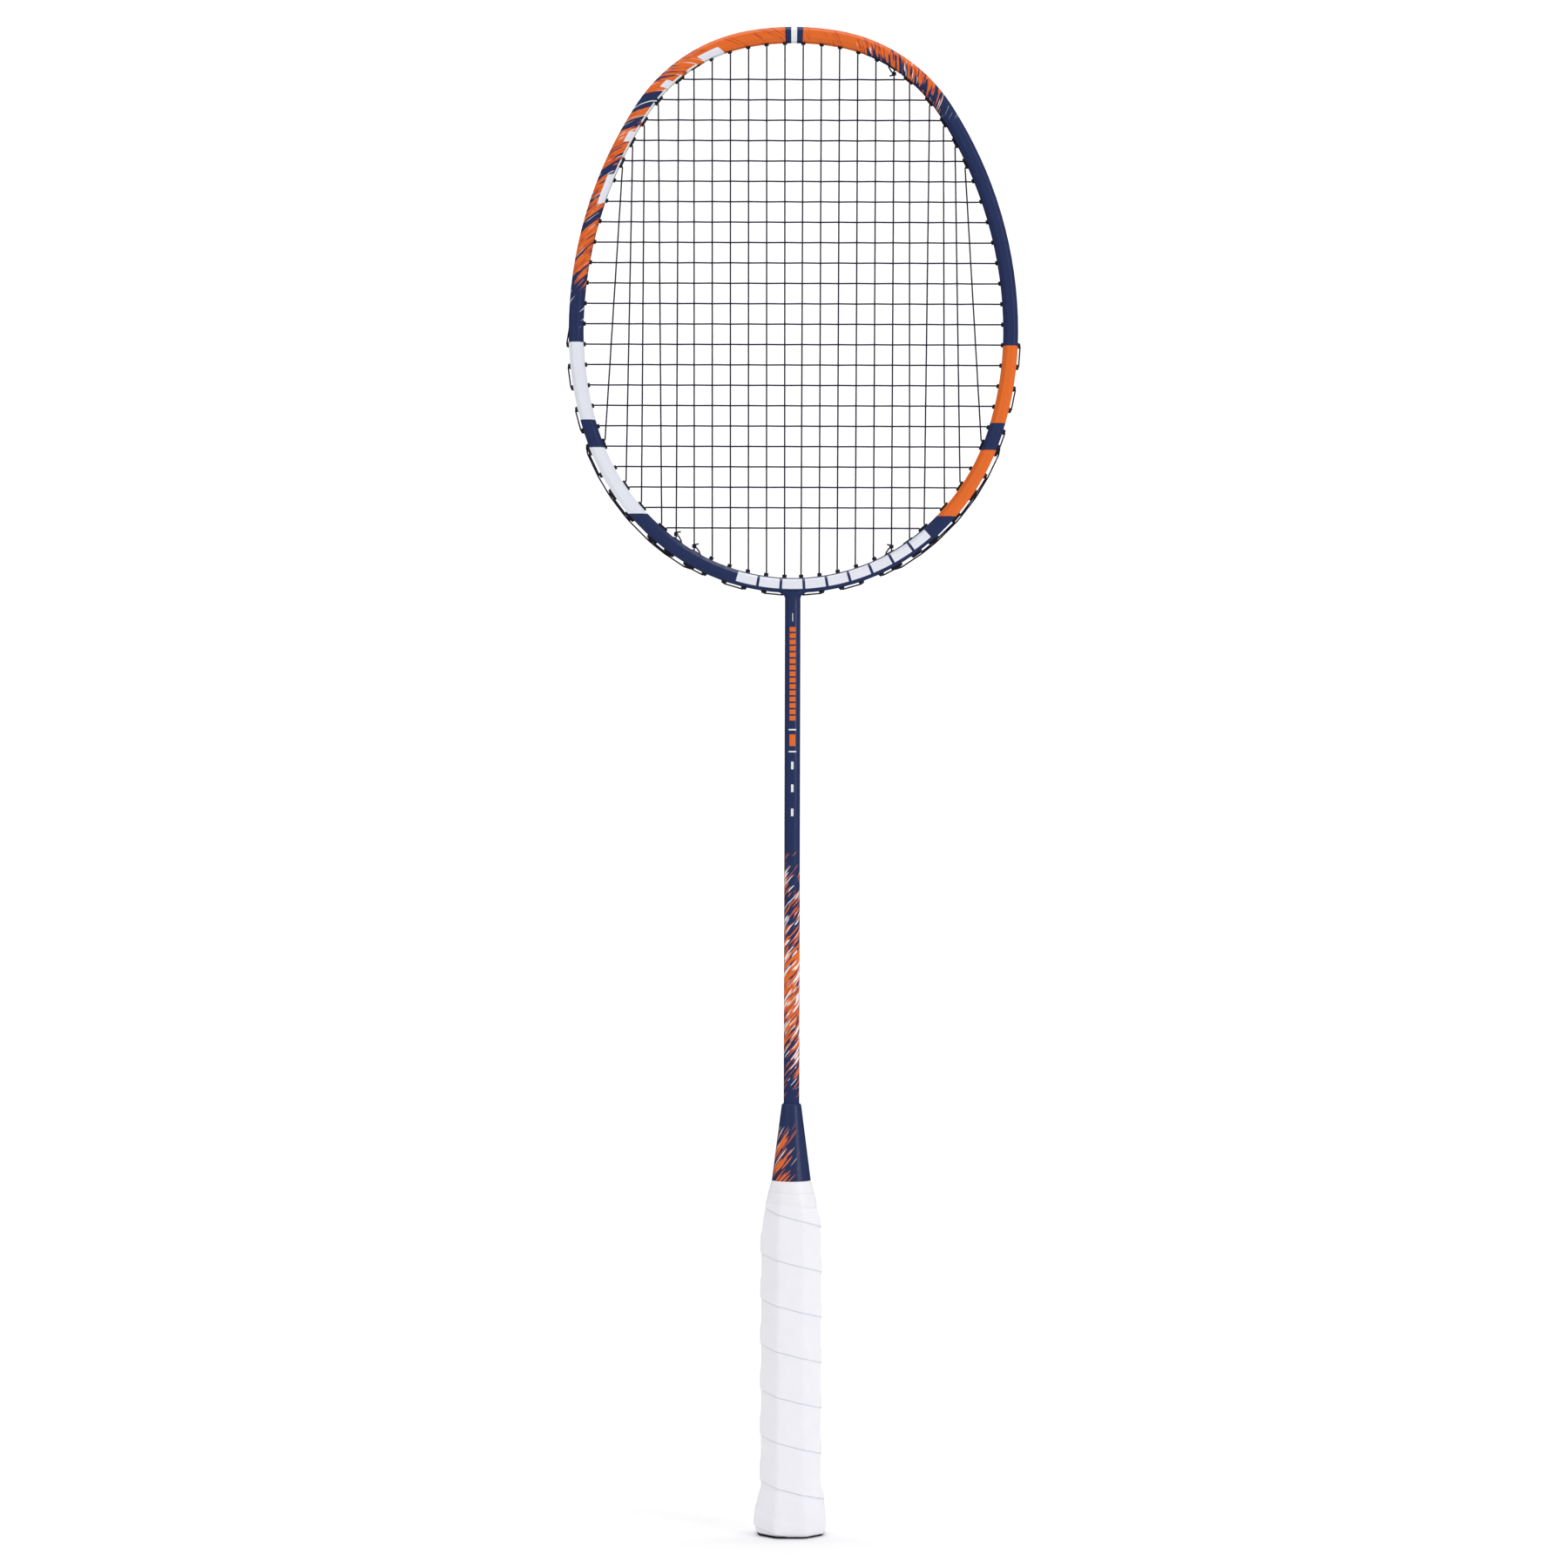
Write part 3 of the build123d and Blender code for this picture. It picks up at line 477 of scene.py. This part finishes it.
def lacquer_relief(graph, place):
    """Orange peel of a sprayed clear coat, with a few specks of dust under it."""
    vector = graph.vector(*place)
    peel = graph.noise(vector, scale=900.0, detail=1.0) * (4.0 * MICRON)
    speck = graph.ramp(graph.cells(vector, scale=260.0), 0.10, 0.04) * (3.0 * MICRON)
    return peel + speck


def paint_wear(graph, place):
    """Faint cloudiness of handled paint, 0 to 1."""
    return graph.noise(graph.vector(*place), scale=70.0, detail=3.0, roughness=0.6)


def lacquered(graph, painted, place, roughness, varies):
    """Ends a sprayed, clear-coated material. Its roughness varies by this much with wear."""
    wear = paint_wear(graph, place)
    return graph.finish(
        graph.mix(wear * 0.10, painted, DARK_NAVY),
        roughness + wear * varies,
        lacquer_relief(graph, place),
        Coat_Weight=0.22,
        Coat_Roughness=0.1,
        Specular_IOR_Level=0.26,
    )


def left_cover(graph, along, slant):
    """How much navy hides the orange on the left: all at the side and clusters of strokes above."""
    cover = graph.ramp(along, up_to(LEFT_ORANGE_FROM), up_to(LEFT_STREAKS_FROM))
    fade_end = up_to(LEFT_STREAKS_TO + LEFT_STREAKS_FADE)
    cover = cover.most(graph.ramp(along, fade_end, up_to(LEFT_STREAKS_TO)) * 0.24)
    for height, half_length, strength in NAVY_CLUSTERS:
        away = (slant - up_to(height)).size()
        cover = cover.most(graph.ramp(away, half_length, half_length * CLUSTER_CORE) * strength)
    return cover


def left_patches(graph, painted, along, across, y):
    """White patches towards the strings, and a worn white line along the inner edge."""
    cut = along + (across - PATCH_MIDDLE) * PATCH_SLANT
    for height, half_length in PATCHES:
        middle = up_to(height)
        patch = graph.between(cut, middle - half_length, middle + half_length, SHARP)
        patch = patch * graph.below(across, PATCH_OUTER_EDGE, SHARP)
        painted = graph.mix(patch, painted, PALE)
    wear_place = graph.vector(along / INNER_LINE_WEAR, 0.0, 8.0)
    line = graph.between(along, up_to(INNER_LINE[0]), up_to(INNER_LINE[1]), 3 * SHARP)
    line = line * graph.ramp(graph.noise(wear_place, detail=1.0), 0.40, 0.44)
    line = line * graph.below(across, INNER_LINE_EDGE, SHARP / 2)
    line = line * graph.below(y.size(), INNER_LINE_HALF_DEPTH, 1.5 * SHARP)
    return graph.mix(line, painted, WHITE)


def left_paint(graph, along, across, place):
    """Navy with two pale bands at the side, then brush strokes that thin out to orange at the tip."""
    _, y, z = place
    slant = along + across * LEFT_SLANT
    layer = y / PAINT_DEPTH
    cover = left_cover(graph, along, slant)
    dark = strokes(graph, slant, across, LEFT_NAVY, cover, layer)
    dark = dark.most(strokes(graph, slant, across, LEFT_FINE_NAVY, cover * 0.75, layer))
    jag = graph.noise(graph.vector(slant / JAG_WIDTH, across / JAG_LENGTH, 5.0), detail=1.0) * JAG_DEPTH
    block = graph.between(slant + jag, up_to(DARK_PATCH[0]), up_to(DARK_PATCH[1]), SHARP)
    dark = dark.most(block)
    streaked = graph.between(z, LEFT_WHITE_FROM, LEFT_STREAKS_TO, 4.0 * MM)
    deep = strokes(graph, slant, across, LEFT_DEEP_ORANGE, 0.30, layer)
    light = strokes(graph, slant, across, LEFT_WHITE, streaked * 0.17, layer)
    painted = graph.mix(deep, ORANGE, DEEP_ORANGE)
    painted = graph.mix(dark, painted, NAVY)
    painted = graph.mix(light * (1.0 - block), painted, WHITE)
    curved = slant + across * across * ARC_LINE_BEND
    arc_line = graph.between(curved, up_to(ARC_LINE[0]), up_to(ARC_LINE[1]), SHARP)
    painted = graph.mix(arc_line, painted, WHITE)
    painted = left_patches(graph, painted, along, across, y)
    for low, high in LEFT_PALE_BANDS:
        painted = graph.mix(graph.between(z, low, high, SHARP), painted, PALE)
    return painted


def right_paint(graph, along, across, place):
    """Navy with two orange bands at the side, and orange with cross strokes towards the tip."""
    _, y, z = place
    slant = along + across * RIGHT_SLANT
    layer = y / PAINT_DEPTH
    cover = graph.ramp(along, up_to(RIGHT_ORANGE_FROM), up_to(RIGHT_STREAKS_FROM))
    streaked = graph.ramp(along, up_to(RIGHT_STREAKS_FADE[0]), up_to(RIGHT_STREAKS_FADE[1]))
    from_inside = graph.below(across, 0.0, 3.5 * MM)
    cover = cover.most(streaked * (0.30 + from_inside * 0.24))
    dark = strokes(graph, slant, across, RIGHT_NAVY, cover, layer)
    dark = dark.most(strokes(graph, slant, across, RIGHT_FINE_NAVY, cover * 0.8, layer))
    dark = dark.most(graph.ramp(z, *RIGHT_NAVY_FADE))
    deep = strokes(graph, slant, across, RIGHT_DEEP_ORANGE, 0.34, layer)
    light = strokes(graph, slant, across, RIGHT_WHITE, streaked * 0.15, layer)
    painted = graph.mix(deep, ORANGE, DEEP_ORANGE)
    painted = graph.mix(dark, painted, NAVY)
    painted = graph.mix(light * graph.ramp(z, *RIGHT_WHITE_FADE), painted, WHITE)
    for low, high in RIGHT_ORANGE_BANDS:
        painted = graph.mix(graph.between(z, low, high, SHARP), painted, ORANGE)
    return painted


def throat_blocks(graph, left, along, across):
    """1 on the row of plain white blocks along the front and back of the throat."""
    signed = along * (1.0 - left * 2.0)
    start = -length_to(0, -BLOCKS_FROM_X)
    end = length_to(0, BLOCKS_TO_X)
    step = (signed - start) / ((end - start) / THROAT_BLOCKS)
    blocks = graph.between(step % 1.0, *BLOCK_FILLS, BLOCK_EDGE)
    row = graph.between(signed, start, end, SHARP)
    return row * blocks * graph.between(across, *BLOCKS_ACROSS, SHARP)


def painted_composite():
    graph = Graph("painted_composite")
    left, along, across, place = along_head(graph)
    z = place[2]
    right_half = right_paint(graph, along, across, place)
    left_half = left_paint(graph, along, across, place)
    painted = graph.mix(left, right_half, left_half)
    painted = graph.mix(throat_blocks(graph, left, along, across), painted, PALE)
    from_tip = HALF_HEAD_LENGTH - along
    painted = graph.mix(graph.below(from_tip, TIP_BAND_HALF_LENGTH, SHARP), painted, NAVY)
    painted = graph.mix(graph.below(from_tip, TIP_WHITE_HALF_LENGTH, SHARP), painted, WHITE)
    painted = graph.mix(graph.below(z, NECK_TOP, 2 * SHARP), painted, NAVY)
    return lacquered(graph, painted, place, 0.26, 0.14)


def painted_shaft():
    """Navy with orange and white strokes low down and plain marks on the front higher up."""
    graph = Graph("painted_shaft")
    x, y, z = graph.place()
    around = graph.turn(x, y) * SHAFT_RADIUS
    slant = z + around * SHAFT_SLANT
    dense = graph.between(z, *SHAFT_DENSE, SHAFT_FADE)
    sparse = graph.between(z, *SHAFT_SPARSE, SHAFT_FADE)
    bright = strokes(graph, slant, around, SHAFT_ORANGE, sparse * 0.29 + dense * 0.27)
    fine = strokes(graph, slant, around, SHAFT_FINE_ORANGE, sparse * 0.26 + dense * 0.18)
    light = strokes(graph, slant, around, SHAFT_WHITE, sparse * 0.26 + dense * 0.10)
    painted = graph.mix(bright.most(fine), NAVY, ORANGE)
    painted = graph.mix(light, painted, WHITE)
    for low, high, half_width, shade in SHAFT_MARKS:
        mark = graph.between(z, low, high, SHARP)
        mark = mark * graph.ramp(around.size(), half_width, half_width - SHARP)
        if high - low > LONG_MARK:
            mark = mark * graph.between((z - low) / MARK_PITCH % 1.0, 0.0, MARK_FILLED, MARK_EDGE)
        painted = graph.mix(mark, painted, shade)
    return lacquered(graph, painted, (x, y, z), 0.24, 0.12)


def cone_plastic():
    """Moulded cone, lacquered navy, with a few long strokes that thin out to the right."""
    graph = Graph("cone_plastic")
    x, y, z = graph.place()
    turn = graph.turn(x, y)
    around = turn * CONE_PAINT_RADIUS
    slant = z + around * CONE_SLANT
    side = graph.ramp(turn, *CONE_RIGHT_FADE) * graph.ramp(turn, *CONE_BACK_FADE)
    side = side * graph.between(z, *CONE_STROKES, CONE_STROKES_FADE)
    bright = strokes(graph, slant, around, CONE_ORANGE, side * 0.40)
    fine = strokes(graph, slant, around, CONE_FINE_ORANGE, side * 0.24)
    light = strokes(graph, slant, around, CONE_WHITE, 0.05 + side * 0.18)
    light = light * graph.between(z, *CONE_WHITE_STROKES, CONE_WHITE_FADE)
    painted = graph.mix(bright.most(fine) * side.over(0.01), NAVY, ORANGE)
    painted = graph.mix(light, painted, WHITE)
    wear = paint_wear(graph, (x, y, z))
    painted = graph.mix(wear * 0.12, painted, DARK_NAVY)
    texture = graph.noise(graph.vector(x, y, z), scale=2200.0, detail=1.0) * (6.0 * MICRON)
    return graph.finish(painted, 0.30 + wear * 0.14, texture, Coat_Weight=0.2, Specular_IOR_Level=0.3)


# ---------------------------------------------------------------- other materials
def nylon_string():
    """Braided multifilament under a thin coat: fine diagonal ridges that show through."""
    graph = Graph("nylon_string")
    x, y, z = graph.place()
    vector = graph.vector(x, y, z)
    tint = graph.noise(vector, scale=400.0)
    braid_pitch = 0.55 * MM
    braid = ((x + z) * (tau / braid_pitch)).sine() * ((x - z) * (tau / braid_pitch)).sine()
    relief = braid * (5.0 * MICRON) + graph.noise(vector, scale=3000.0, detail=1.0) * (2.0 * MICRON)
    painted = graph.mix(tint, colour(22, 21, 48), colour(38, 35, 70))
    return graph.finish(painted, 0.42 + tint * 0.1, relief, Coat_Weight=0.12, Coat_Roughness=0.25)


def grommet_nylon():
    """Moulded black nylon with a fine matt texture."""
    graph = Graph("grommet_nylon")
    vector = graph.vector(*graph.place())
    tint = graph.noise(vector, scale=500.0, detail=3.0)
    relief = graph.noise(vector, scale=4500.0, detail=1.0) * (6.0 * MICRON)
    return graph.finish(graph.mix(tint, colour(22, 22, 30), colour(44, 44, 54)), 0.42 + tint * 0.16, relief)


def cap_plastic():
    """Dark moulded plastic of the butt cap, faintly mottled."""
    graph = Graph("cap_plastic")
    vector = graph.vector(*graph.place())
    tint = graph.noise(vector, scale=300.0, detail=3.0)
    relief = graph.noise(vector, scale=1800.0) * (8.0 * MICRON)
    return graph.finish(graph.mix(tint, colour(24, 26, 40), colour(40, 42, 58)), 0.42 + tint * 0.12, relief)


def handle_wood():
    """Poplar: pale, with long grain up the handle."""
    graph = Graph("handle_wood")
    x, y, z = graph.place()
    rings = graph.noise(graph.vector(x * 900.0, y * 900.0, z * 35.0), detail=3.0)
    pores = graph.noise(graph.vector(x * 4000.0, y * 4000.0, z * 220.0))
    painted = graph.mix(rings, colour(196, 160, 112), colour(226, 198, 152))
    painted = graph.mix(graph.ramp(pores, 0.62, 0.72), painted, colour(160, 124, 84))
    return graph.finish(painted, 0.62 + rings * 0.1, pores * (20.0 * MICRON))


def grip_polyurethane():
    """Soft white polyurethane: leathery grain, fine creases along the wrap and painted shade in the seams.
    """
    graph = Graph("grip_polyurethane")
    x, y, z = graph.place()
    vector = graph.vector(x, y, z)
    seam_distance = graph.term(graph.node("Attribute", attribute_name="seam_distance"), "Fac")
    turn = graph.turn(x, y)
    crease_place = graph.vector(turn * 1.3, (z + turn * (WRAP_PITCH / tau)) * 420.0, 0.0)
    crease = graph.noise(crease_place, detail=3.0, roughness=0.55)
    grain = graph.cells(vector, scale=2600.0)
    fine = graph.noise(vector, scale=5200.0)
    seam = graph.ramp(seam_distance, 0.45 * MM, 0.0)
    relief = grain * (14.0 * MICRON) + fine * (10.0 * MICRON) + crease * (100.0 * MICRON)
    tint = graph.noise(vector, scale=120.0, detail=3.0)
    painted = graph.mix(tint * 0.5, colour(246, 246, 251), colour(232, 232, 240))
    # Painted shade: grey is mixed in within about half a millimetre of each seam of the wrap, where its
    # step and crease lie.
    painted = graph.mix(seam * 0.30, painted, colour(172, 172, 186))
    return graph.finish(
        painted,
        0.50 + tint * 0.14,
        relief,
        Sheen_Weight=0.12,
        Sheen_Roughness=0.5,
        Specular_IOR_Level=0.35,
    )


def tape_vinyl():
    """Stretched white vinyl tape: smooth, a little glossy, with fine lines around and painted shade along
    its seam.
    """
    graph = Graph("tape_vinyl")
    x, y, z = graph.place()
    turn = graph.turn(x, y)
    lines = graph.noise(graph.vector(turn * 1.6, z * 2600.0, 0.0))
    tint = graph.noise(graph.vector(x, y, z), scale=260.0)
    painted = graph.mix(tint, colour(247, 247, 250), colour(240, 240, 245))
    level = z + turn.sine() * TAPE_SEAM_TILT
    edge = graph.between(level, TAPE_SEAM - SHARP, TAPE_SEAM + SHARP, 1.5 * SHARP)
    # Painted shade: a thin grey line along the tape's seam, where the step of the upper turn lies.
    painted = graph.mix(edge * 0.30, painted, colour(170, 170, 182))
    return graph.finish(painted, 0.34 + tint * 0.1, lines * (30.0 * MICRON) + tint * (50.0 * MICRON))


def metal(name, shade, roughness):
    """Drawn metal with fine lines along its length."""
    graph = Graph(name)
    x, y, z = graph.place()
    lines = graph.noise(graph.vector(x * 9000.0, y * 9000.0, z * 300.0))
    painted = graph.mix(lines, shade, tuple(part * 0.8 for part in shade))
    return graph.finish(painted, roughness + lines * 0.12, lines * (4.0 * MICRON), Metallic=1.0)


def studio_paper():
    graph = Graph("studio_paper")
    tint = graph.noise(graph.vector(*graph.place()), scale=3.0)
    shade = graph.mix(tint, colour(246, 246, 247), colour(250, 250, 250))
    return graph.finish(shade, 0.9 + tint * 0.02, tint * (20.0 * MICRON))


# ---------------------------------------------------------------- making objects
def linked(name, data):
    made = bpy.data.objects.new(name, data)
    bpy.context.scene.collection.objects.link(made)
    return made


def smooth_mesh(name, points, faces, material):
    mesh = bpy.data.meshes.new(name)
    mesh.from_pydata(points, [], faces)
    mesh.validate()
    mesh.polygons.foreach_set("use_smooth", [True] * len(mesh.polygons))
    mesh.materials.append(material)
    return mesh


def shell_piece(name, points, faces, material, thickness):
    """A piece with this outer surface and a thickness inward. It rides on the racket."""
    made = linked(name, smooth_mesh(name, points, faces, material))
    solidify = made.modifiers.new("thickness", "SOLIDIFY")
    solidify.thickness = thickness
    solidify.offset = -1.0
    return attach(made, "root")


# ---------------------------------------------------------------- shape of the handle
def handle_size(z):
    """Half width and half depth of the wrapped handle at a height."""
    height = z / MM
    sections = GRIP_SECTIONS
    if height <= sections[0][0]:
        return sections[0][1] / 2 * MM, sections[0][2] / 2 * MM
    for below, above in zip(sections, sections[1:]):
        if height <= above[0]:
            part = (height - below[0]) / (above[0] - below[0])
            width = below[1] + (above[1] - below[1]) * part
            depth = below[2] + (above[2] - below[2]) * part
            return width / 2 * MM, depth / 2 * MM
    return sections[-1][1] / 2 * MM, sections[-1][2] / 2 * MM


def octagon_radius(half_width, half_depth, turn):
    """Distance from the axis to a soft octagon. Turn 0 is the front and a quarter turn the right."""
    corner = CORNER_FACET * (half_width + half_depth)
    diagonal = (half_width + half_depth - corner) / 2 ** 0.5
    total = 0.0
    for face in range(8):
        reach = (half_depth, diagonal, half_width, diagonal)[face % 4]
        facing = cos(turn - face * pi / 4)
        if facing > 0.0:
            total += (facing / reach) ** FACET_SHARPNESS
    return total ** (-1.0 / FACET_SHARPNESS)


def smooth(value):
    """0 up to 0 and 1 from 1 on, smooth between them."""
    value = min(1.0, max(0.0, value))
    return value * value * (3.0 - 2.0 * value)


def wrap_profile(climb):
    """How far the wrap stands proud, by the height above its seam as a part of the pitch."""
    height = climb * WRAP_PITCH
    edge = smooth(height / OVERLAP_EDGE)
    fade = 1.0 - smooth((height - OVERLAP_WIDTH) / OVERLAP_FADE)
    crease = 1.0 - smooth(min(height, WRAP_PITCH - height) / CREASE_WIDTH)
    return OVERLAP_RISE * edge * fade - CREASE_DEPTH * crease


def wrap_radius(z, turn, climb, low, high):
    """Distance from the axis to the wrap, which is rounded off at its low and high ends."""
    half_width, half_depth = handle_size(z)
    end = 1.0 - smooth(min(z - low, high - z) / END_ROUNDING_HEIGHT)
    return octagon_radius(half_width, half_depth, turn) + wrap_profile(climb) - END_ROUNDING * end ** 2


def wrap_faces(grid, rows_per_turn):
    """Faces between the rows. The end of a row meets the start of the row one turn lower."""
    faces = []
    for row in range(len(grid) - 1):
        below, above = grid[row], grid[row + 1]
        for column in range(GRIP_COLUMNS - 1):
            faces.append((below[column], below[column + 1], above[column + 1], above[column]))
        lower = row - rows_per_turn
        if lower >= 0:
            faces.append((below[-1], grid[lower][0], grid[lower + 1][0], above[-1]))
    faces = [tuple(dict.fromkeys(face)) for face in faces]
    return [face for face in faces if len(face) > 2]


def make_grip(material):
    """A helical wrap: each turn's lower edge lies over the turn below it."""
    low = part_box("grip_wrap")[0].z
    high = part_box("grip_wrap")[1].z
    even = [EVEN_ROWS_FROM + EVEN_ROWS_SPAN * i / EVEN_ROWS for i in range(EVEN_ROWS + 1)]
    steps = [*ROWS_ABOVE_SEAM, *even, *ROWS_BELOW_SEAM]
    first = floor((low - SEAM_AT_RIGHT) / WRAP_PITCH) - 1
    last = ceil((high - SEAM_AT_RIGHT) / WRAP_PITCH) + 2
    rows = [(turns, step) for turns in range(first, last) for step in steps]
    points = []
    seam_distances = []
    known = {}  # rows that run past an end share its points
    grid = []
    for turns, step in rows:
        line = []
        for column in range(GRIP_COLUMNS):
            turn = column / GRIP_COLUMNS * tau
            z = SEAM_AT_RIGHT + WRAP_PITCH * (turns + step - turn / tau + 0.25)
            kept = min(high, max(low, z))
            key = (column, round(kept / MM, 4))
            if key not in known:
                known[key] = len(points)
                climb = (step + (kept - z) / WRAP_PITCH) % 1.0
                radius = wrap_radius(kept, turn, climb, low, high)
                points.append((radius * sin(turn), -radius * cos(turn), kept))
                seam_distances.append(min(climb, 1.0 - climb) * WRAP_PITCH)
            line.append(known[key])
        grid.append(line)
    faces = wrap_faces(grid, len(steps))
    made = shell_piece("wrapped_grip", points, faces, material, WRAP_THICKNESS)
    made.data.attributes.new("seam_distance", "FLOAT", "POINT").data.foreach_set("value", seam_distances)
    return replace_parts(made, "grip_wrap")


def tape_radius(z, turn, low, high):
    part = (z - low) / (high - low)
    half_width = (TAPE_FOOT_WIDTH + (TAPE_TOP_WIDTH - TAPE_FOOT_WIDTH) * part) / 2
    half_depth = (TAPE_FOOT_DEPTH + (TAPE_TOP_WIDTH - TAPE_FOOT_DEPTH) * part) / 2
    facets = octagon_radius(half_width, half_depth, turn)
    radius = facets + (half_width - facets) * smooth(part * TAPE_ROUNDS_OFF)
    seam = TAPE_SEAM - TAPE_SEAM_TILT * sin(turn)
    radius -= TAPE_STEP * smooth((z - seam) / TAPE_STEP_HEIGHT)
    radius += TAPE_RIPPLE * sin(TAPE_RIPPLES_AROUND * turn + TAPE_RIPPLES_UP * z) * (1.0 - part)
    return radius - TAPE_END_ROUNDING * (1.0 - smooth(min(z - low, high - z) / TAPE_END_HEIGHT))


def make_tape(material):
    """Two turns of thin tape over the top of the wrap and the foot of the cone."""
    low = TAPE_FOOT
    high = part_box("finishing_tape")[1].z
    points = []
    for row in range(TAPE_ROWS + 1):
        z = low + (high - low) * row / TAPE_ROWS
        for column in range(TAPE_COLUMNS):
            turn = column / TAPE_COLUMNS * tau
            radius = tape_radius(z, turn, low, high)
            points.append((radius * sin(turn), -radius * cos(turn), z))
    faces = []
    for row in range(TAPE_ROWS):
        below = row * TAPE_COLUMNS
        above = below + TAPE_COLUMNS
        for column in range(TAPE_COLUMNS):
            beside = (column + 1) % TAPE_COLUMNS
            faces.append((below + column, below + beside, above + beside, above + column))
    made = shell_piece("wound_tape", points, faces, material, TAPE_THICKNESS)
    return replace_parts(made, "finishing_tape")


# ---------------------------------------------------------------- stage, lights and camera
def make_stage():
    """A pale floor that curves up into a wall behind the racket."""
    profile = [(STAGE_FRONT, 0.0), (0.0, 0.0), (STAGE_BEND_START, 0.0)]
    for step in range(1, STAGE_BEND_STEPS + 1):
        angle = step / STAGE_BEND_STEPS * pi / 2
        y = STAGE_BEND_START + STAGE_BEND_RADIUS * sin(angle)
        profile.append((y, STAGE_BEND_RADIUS * (1 - cos(angle))))
    profile.append((STAGE_BEND_START + STAGE_BEND_RADIUS, STAGE_WALL_TOP))
    points = [(side * STAGE_HALF_WIDTH, y, z) for y, z in profile for side in (-1, 1)]
    faces = [(2 * i, 2 * i + 1, 2 * i + 3, 2 * i + 2) for i in range(len(profile) - 1)]
    made = linked("studio_floor", smooth_mesh("studio_floor", points, faces, studio_paper()))
    made.visible_glossy = False


def make_lights():
    for name, place, target, width, height, watts in AREA_LIGHTS:
        light = bpy.data.lights.new(name, "AREA")
        light.shape = "RECTANGLE"
        light.size = width
        light.size_y = height
        light.energy = watts
        made = linked(name, light)
        made.location = place
        made.rotation_euler = (Vector(target) - Vector(place)).to_track_quat("-Z", "Y").to_euler()
    world = bpy.data.worlds.new("studio")
    world.use_nodes = True
    background = world.node_tree.nodes["Background"]
    background.inputs["Color"].default_value = (1.0, 1.0, 1.0, 1.0)
    background.inputs["Strength"].default_value = WORLD_STRENGTH
    world.cycles_visibility.glossy = False
    bpy.context.scene.world = world


def make_camera():
    lens = bpy.data.cameras.new("camera")
    lens.sensor_fit = "HORIZONTAL"
    lens.angle = FIELD_OF_VIEW
    lens.clip_start = 0.05
    lens.clip_end = 30.0
    made = linked("camera", lens)
    distance = PICTURE_WIDTH / 2 / tan(FIELD_OF_VIEW / 2)
    level = Matrix.Rotation(pi / 2, 4, "X") @ Matrix.Rotation(CAMERA_ROLL, 4, "Z")
    made.matrix_world = Matrix.Translation((CAMERA_X, -distance, CAMERA_Z)) @ level
    bpy.context.scene.camera = made
    bpy.context.scene.view_settings.view_transform = "Standard"


make_camera()
make_stage()
make_lights()

grip_surface = grip_polyurethane()
tape_surface = tape_vinyl()
string_surface = nylon_string()
grommet_surface = grommet_nylon()
surfaces = {
    "head_frame": painted_composite(),
    "t_joint": metal("insert_metal", colour(190, 192, 198), 0.34),
    "shaft": painted_shaft(),
    "cone": cone_plastic(),
    "handle_core": handle_wood(),
    "butt_cap": cap_plastic(),
    "grip_staple": metal("staple_steel", colour(176, 178, 184), 0.30),
    "grip_wrap": grip_surface,
    "finishing_tape": tape_surface,
    "main_string": string_surface,
    "cross_string": string_surface,
}
# Every node that isn't listed is a kind of grommet.
for name, node in nodes.items():
    node.data.materials.clear()
    node.data.materials.append(surfaces.get(name, grommet_surface))

make_grip(grip_surface)
make_tape(tape_surface)
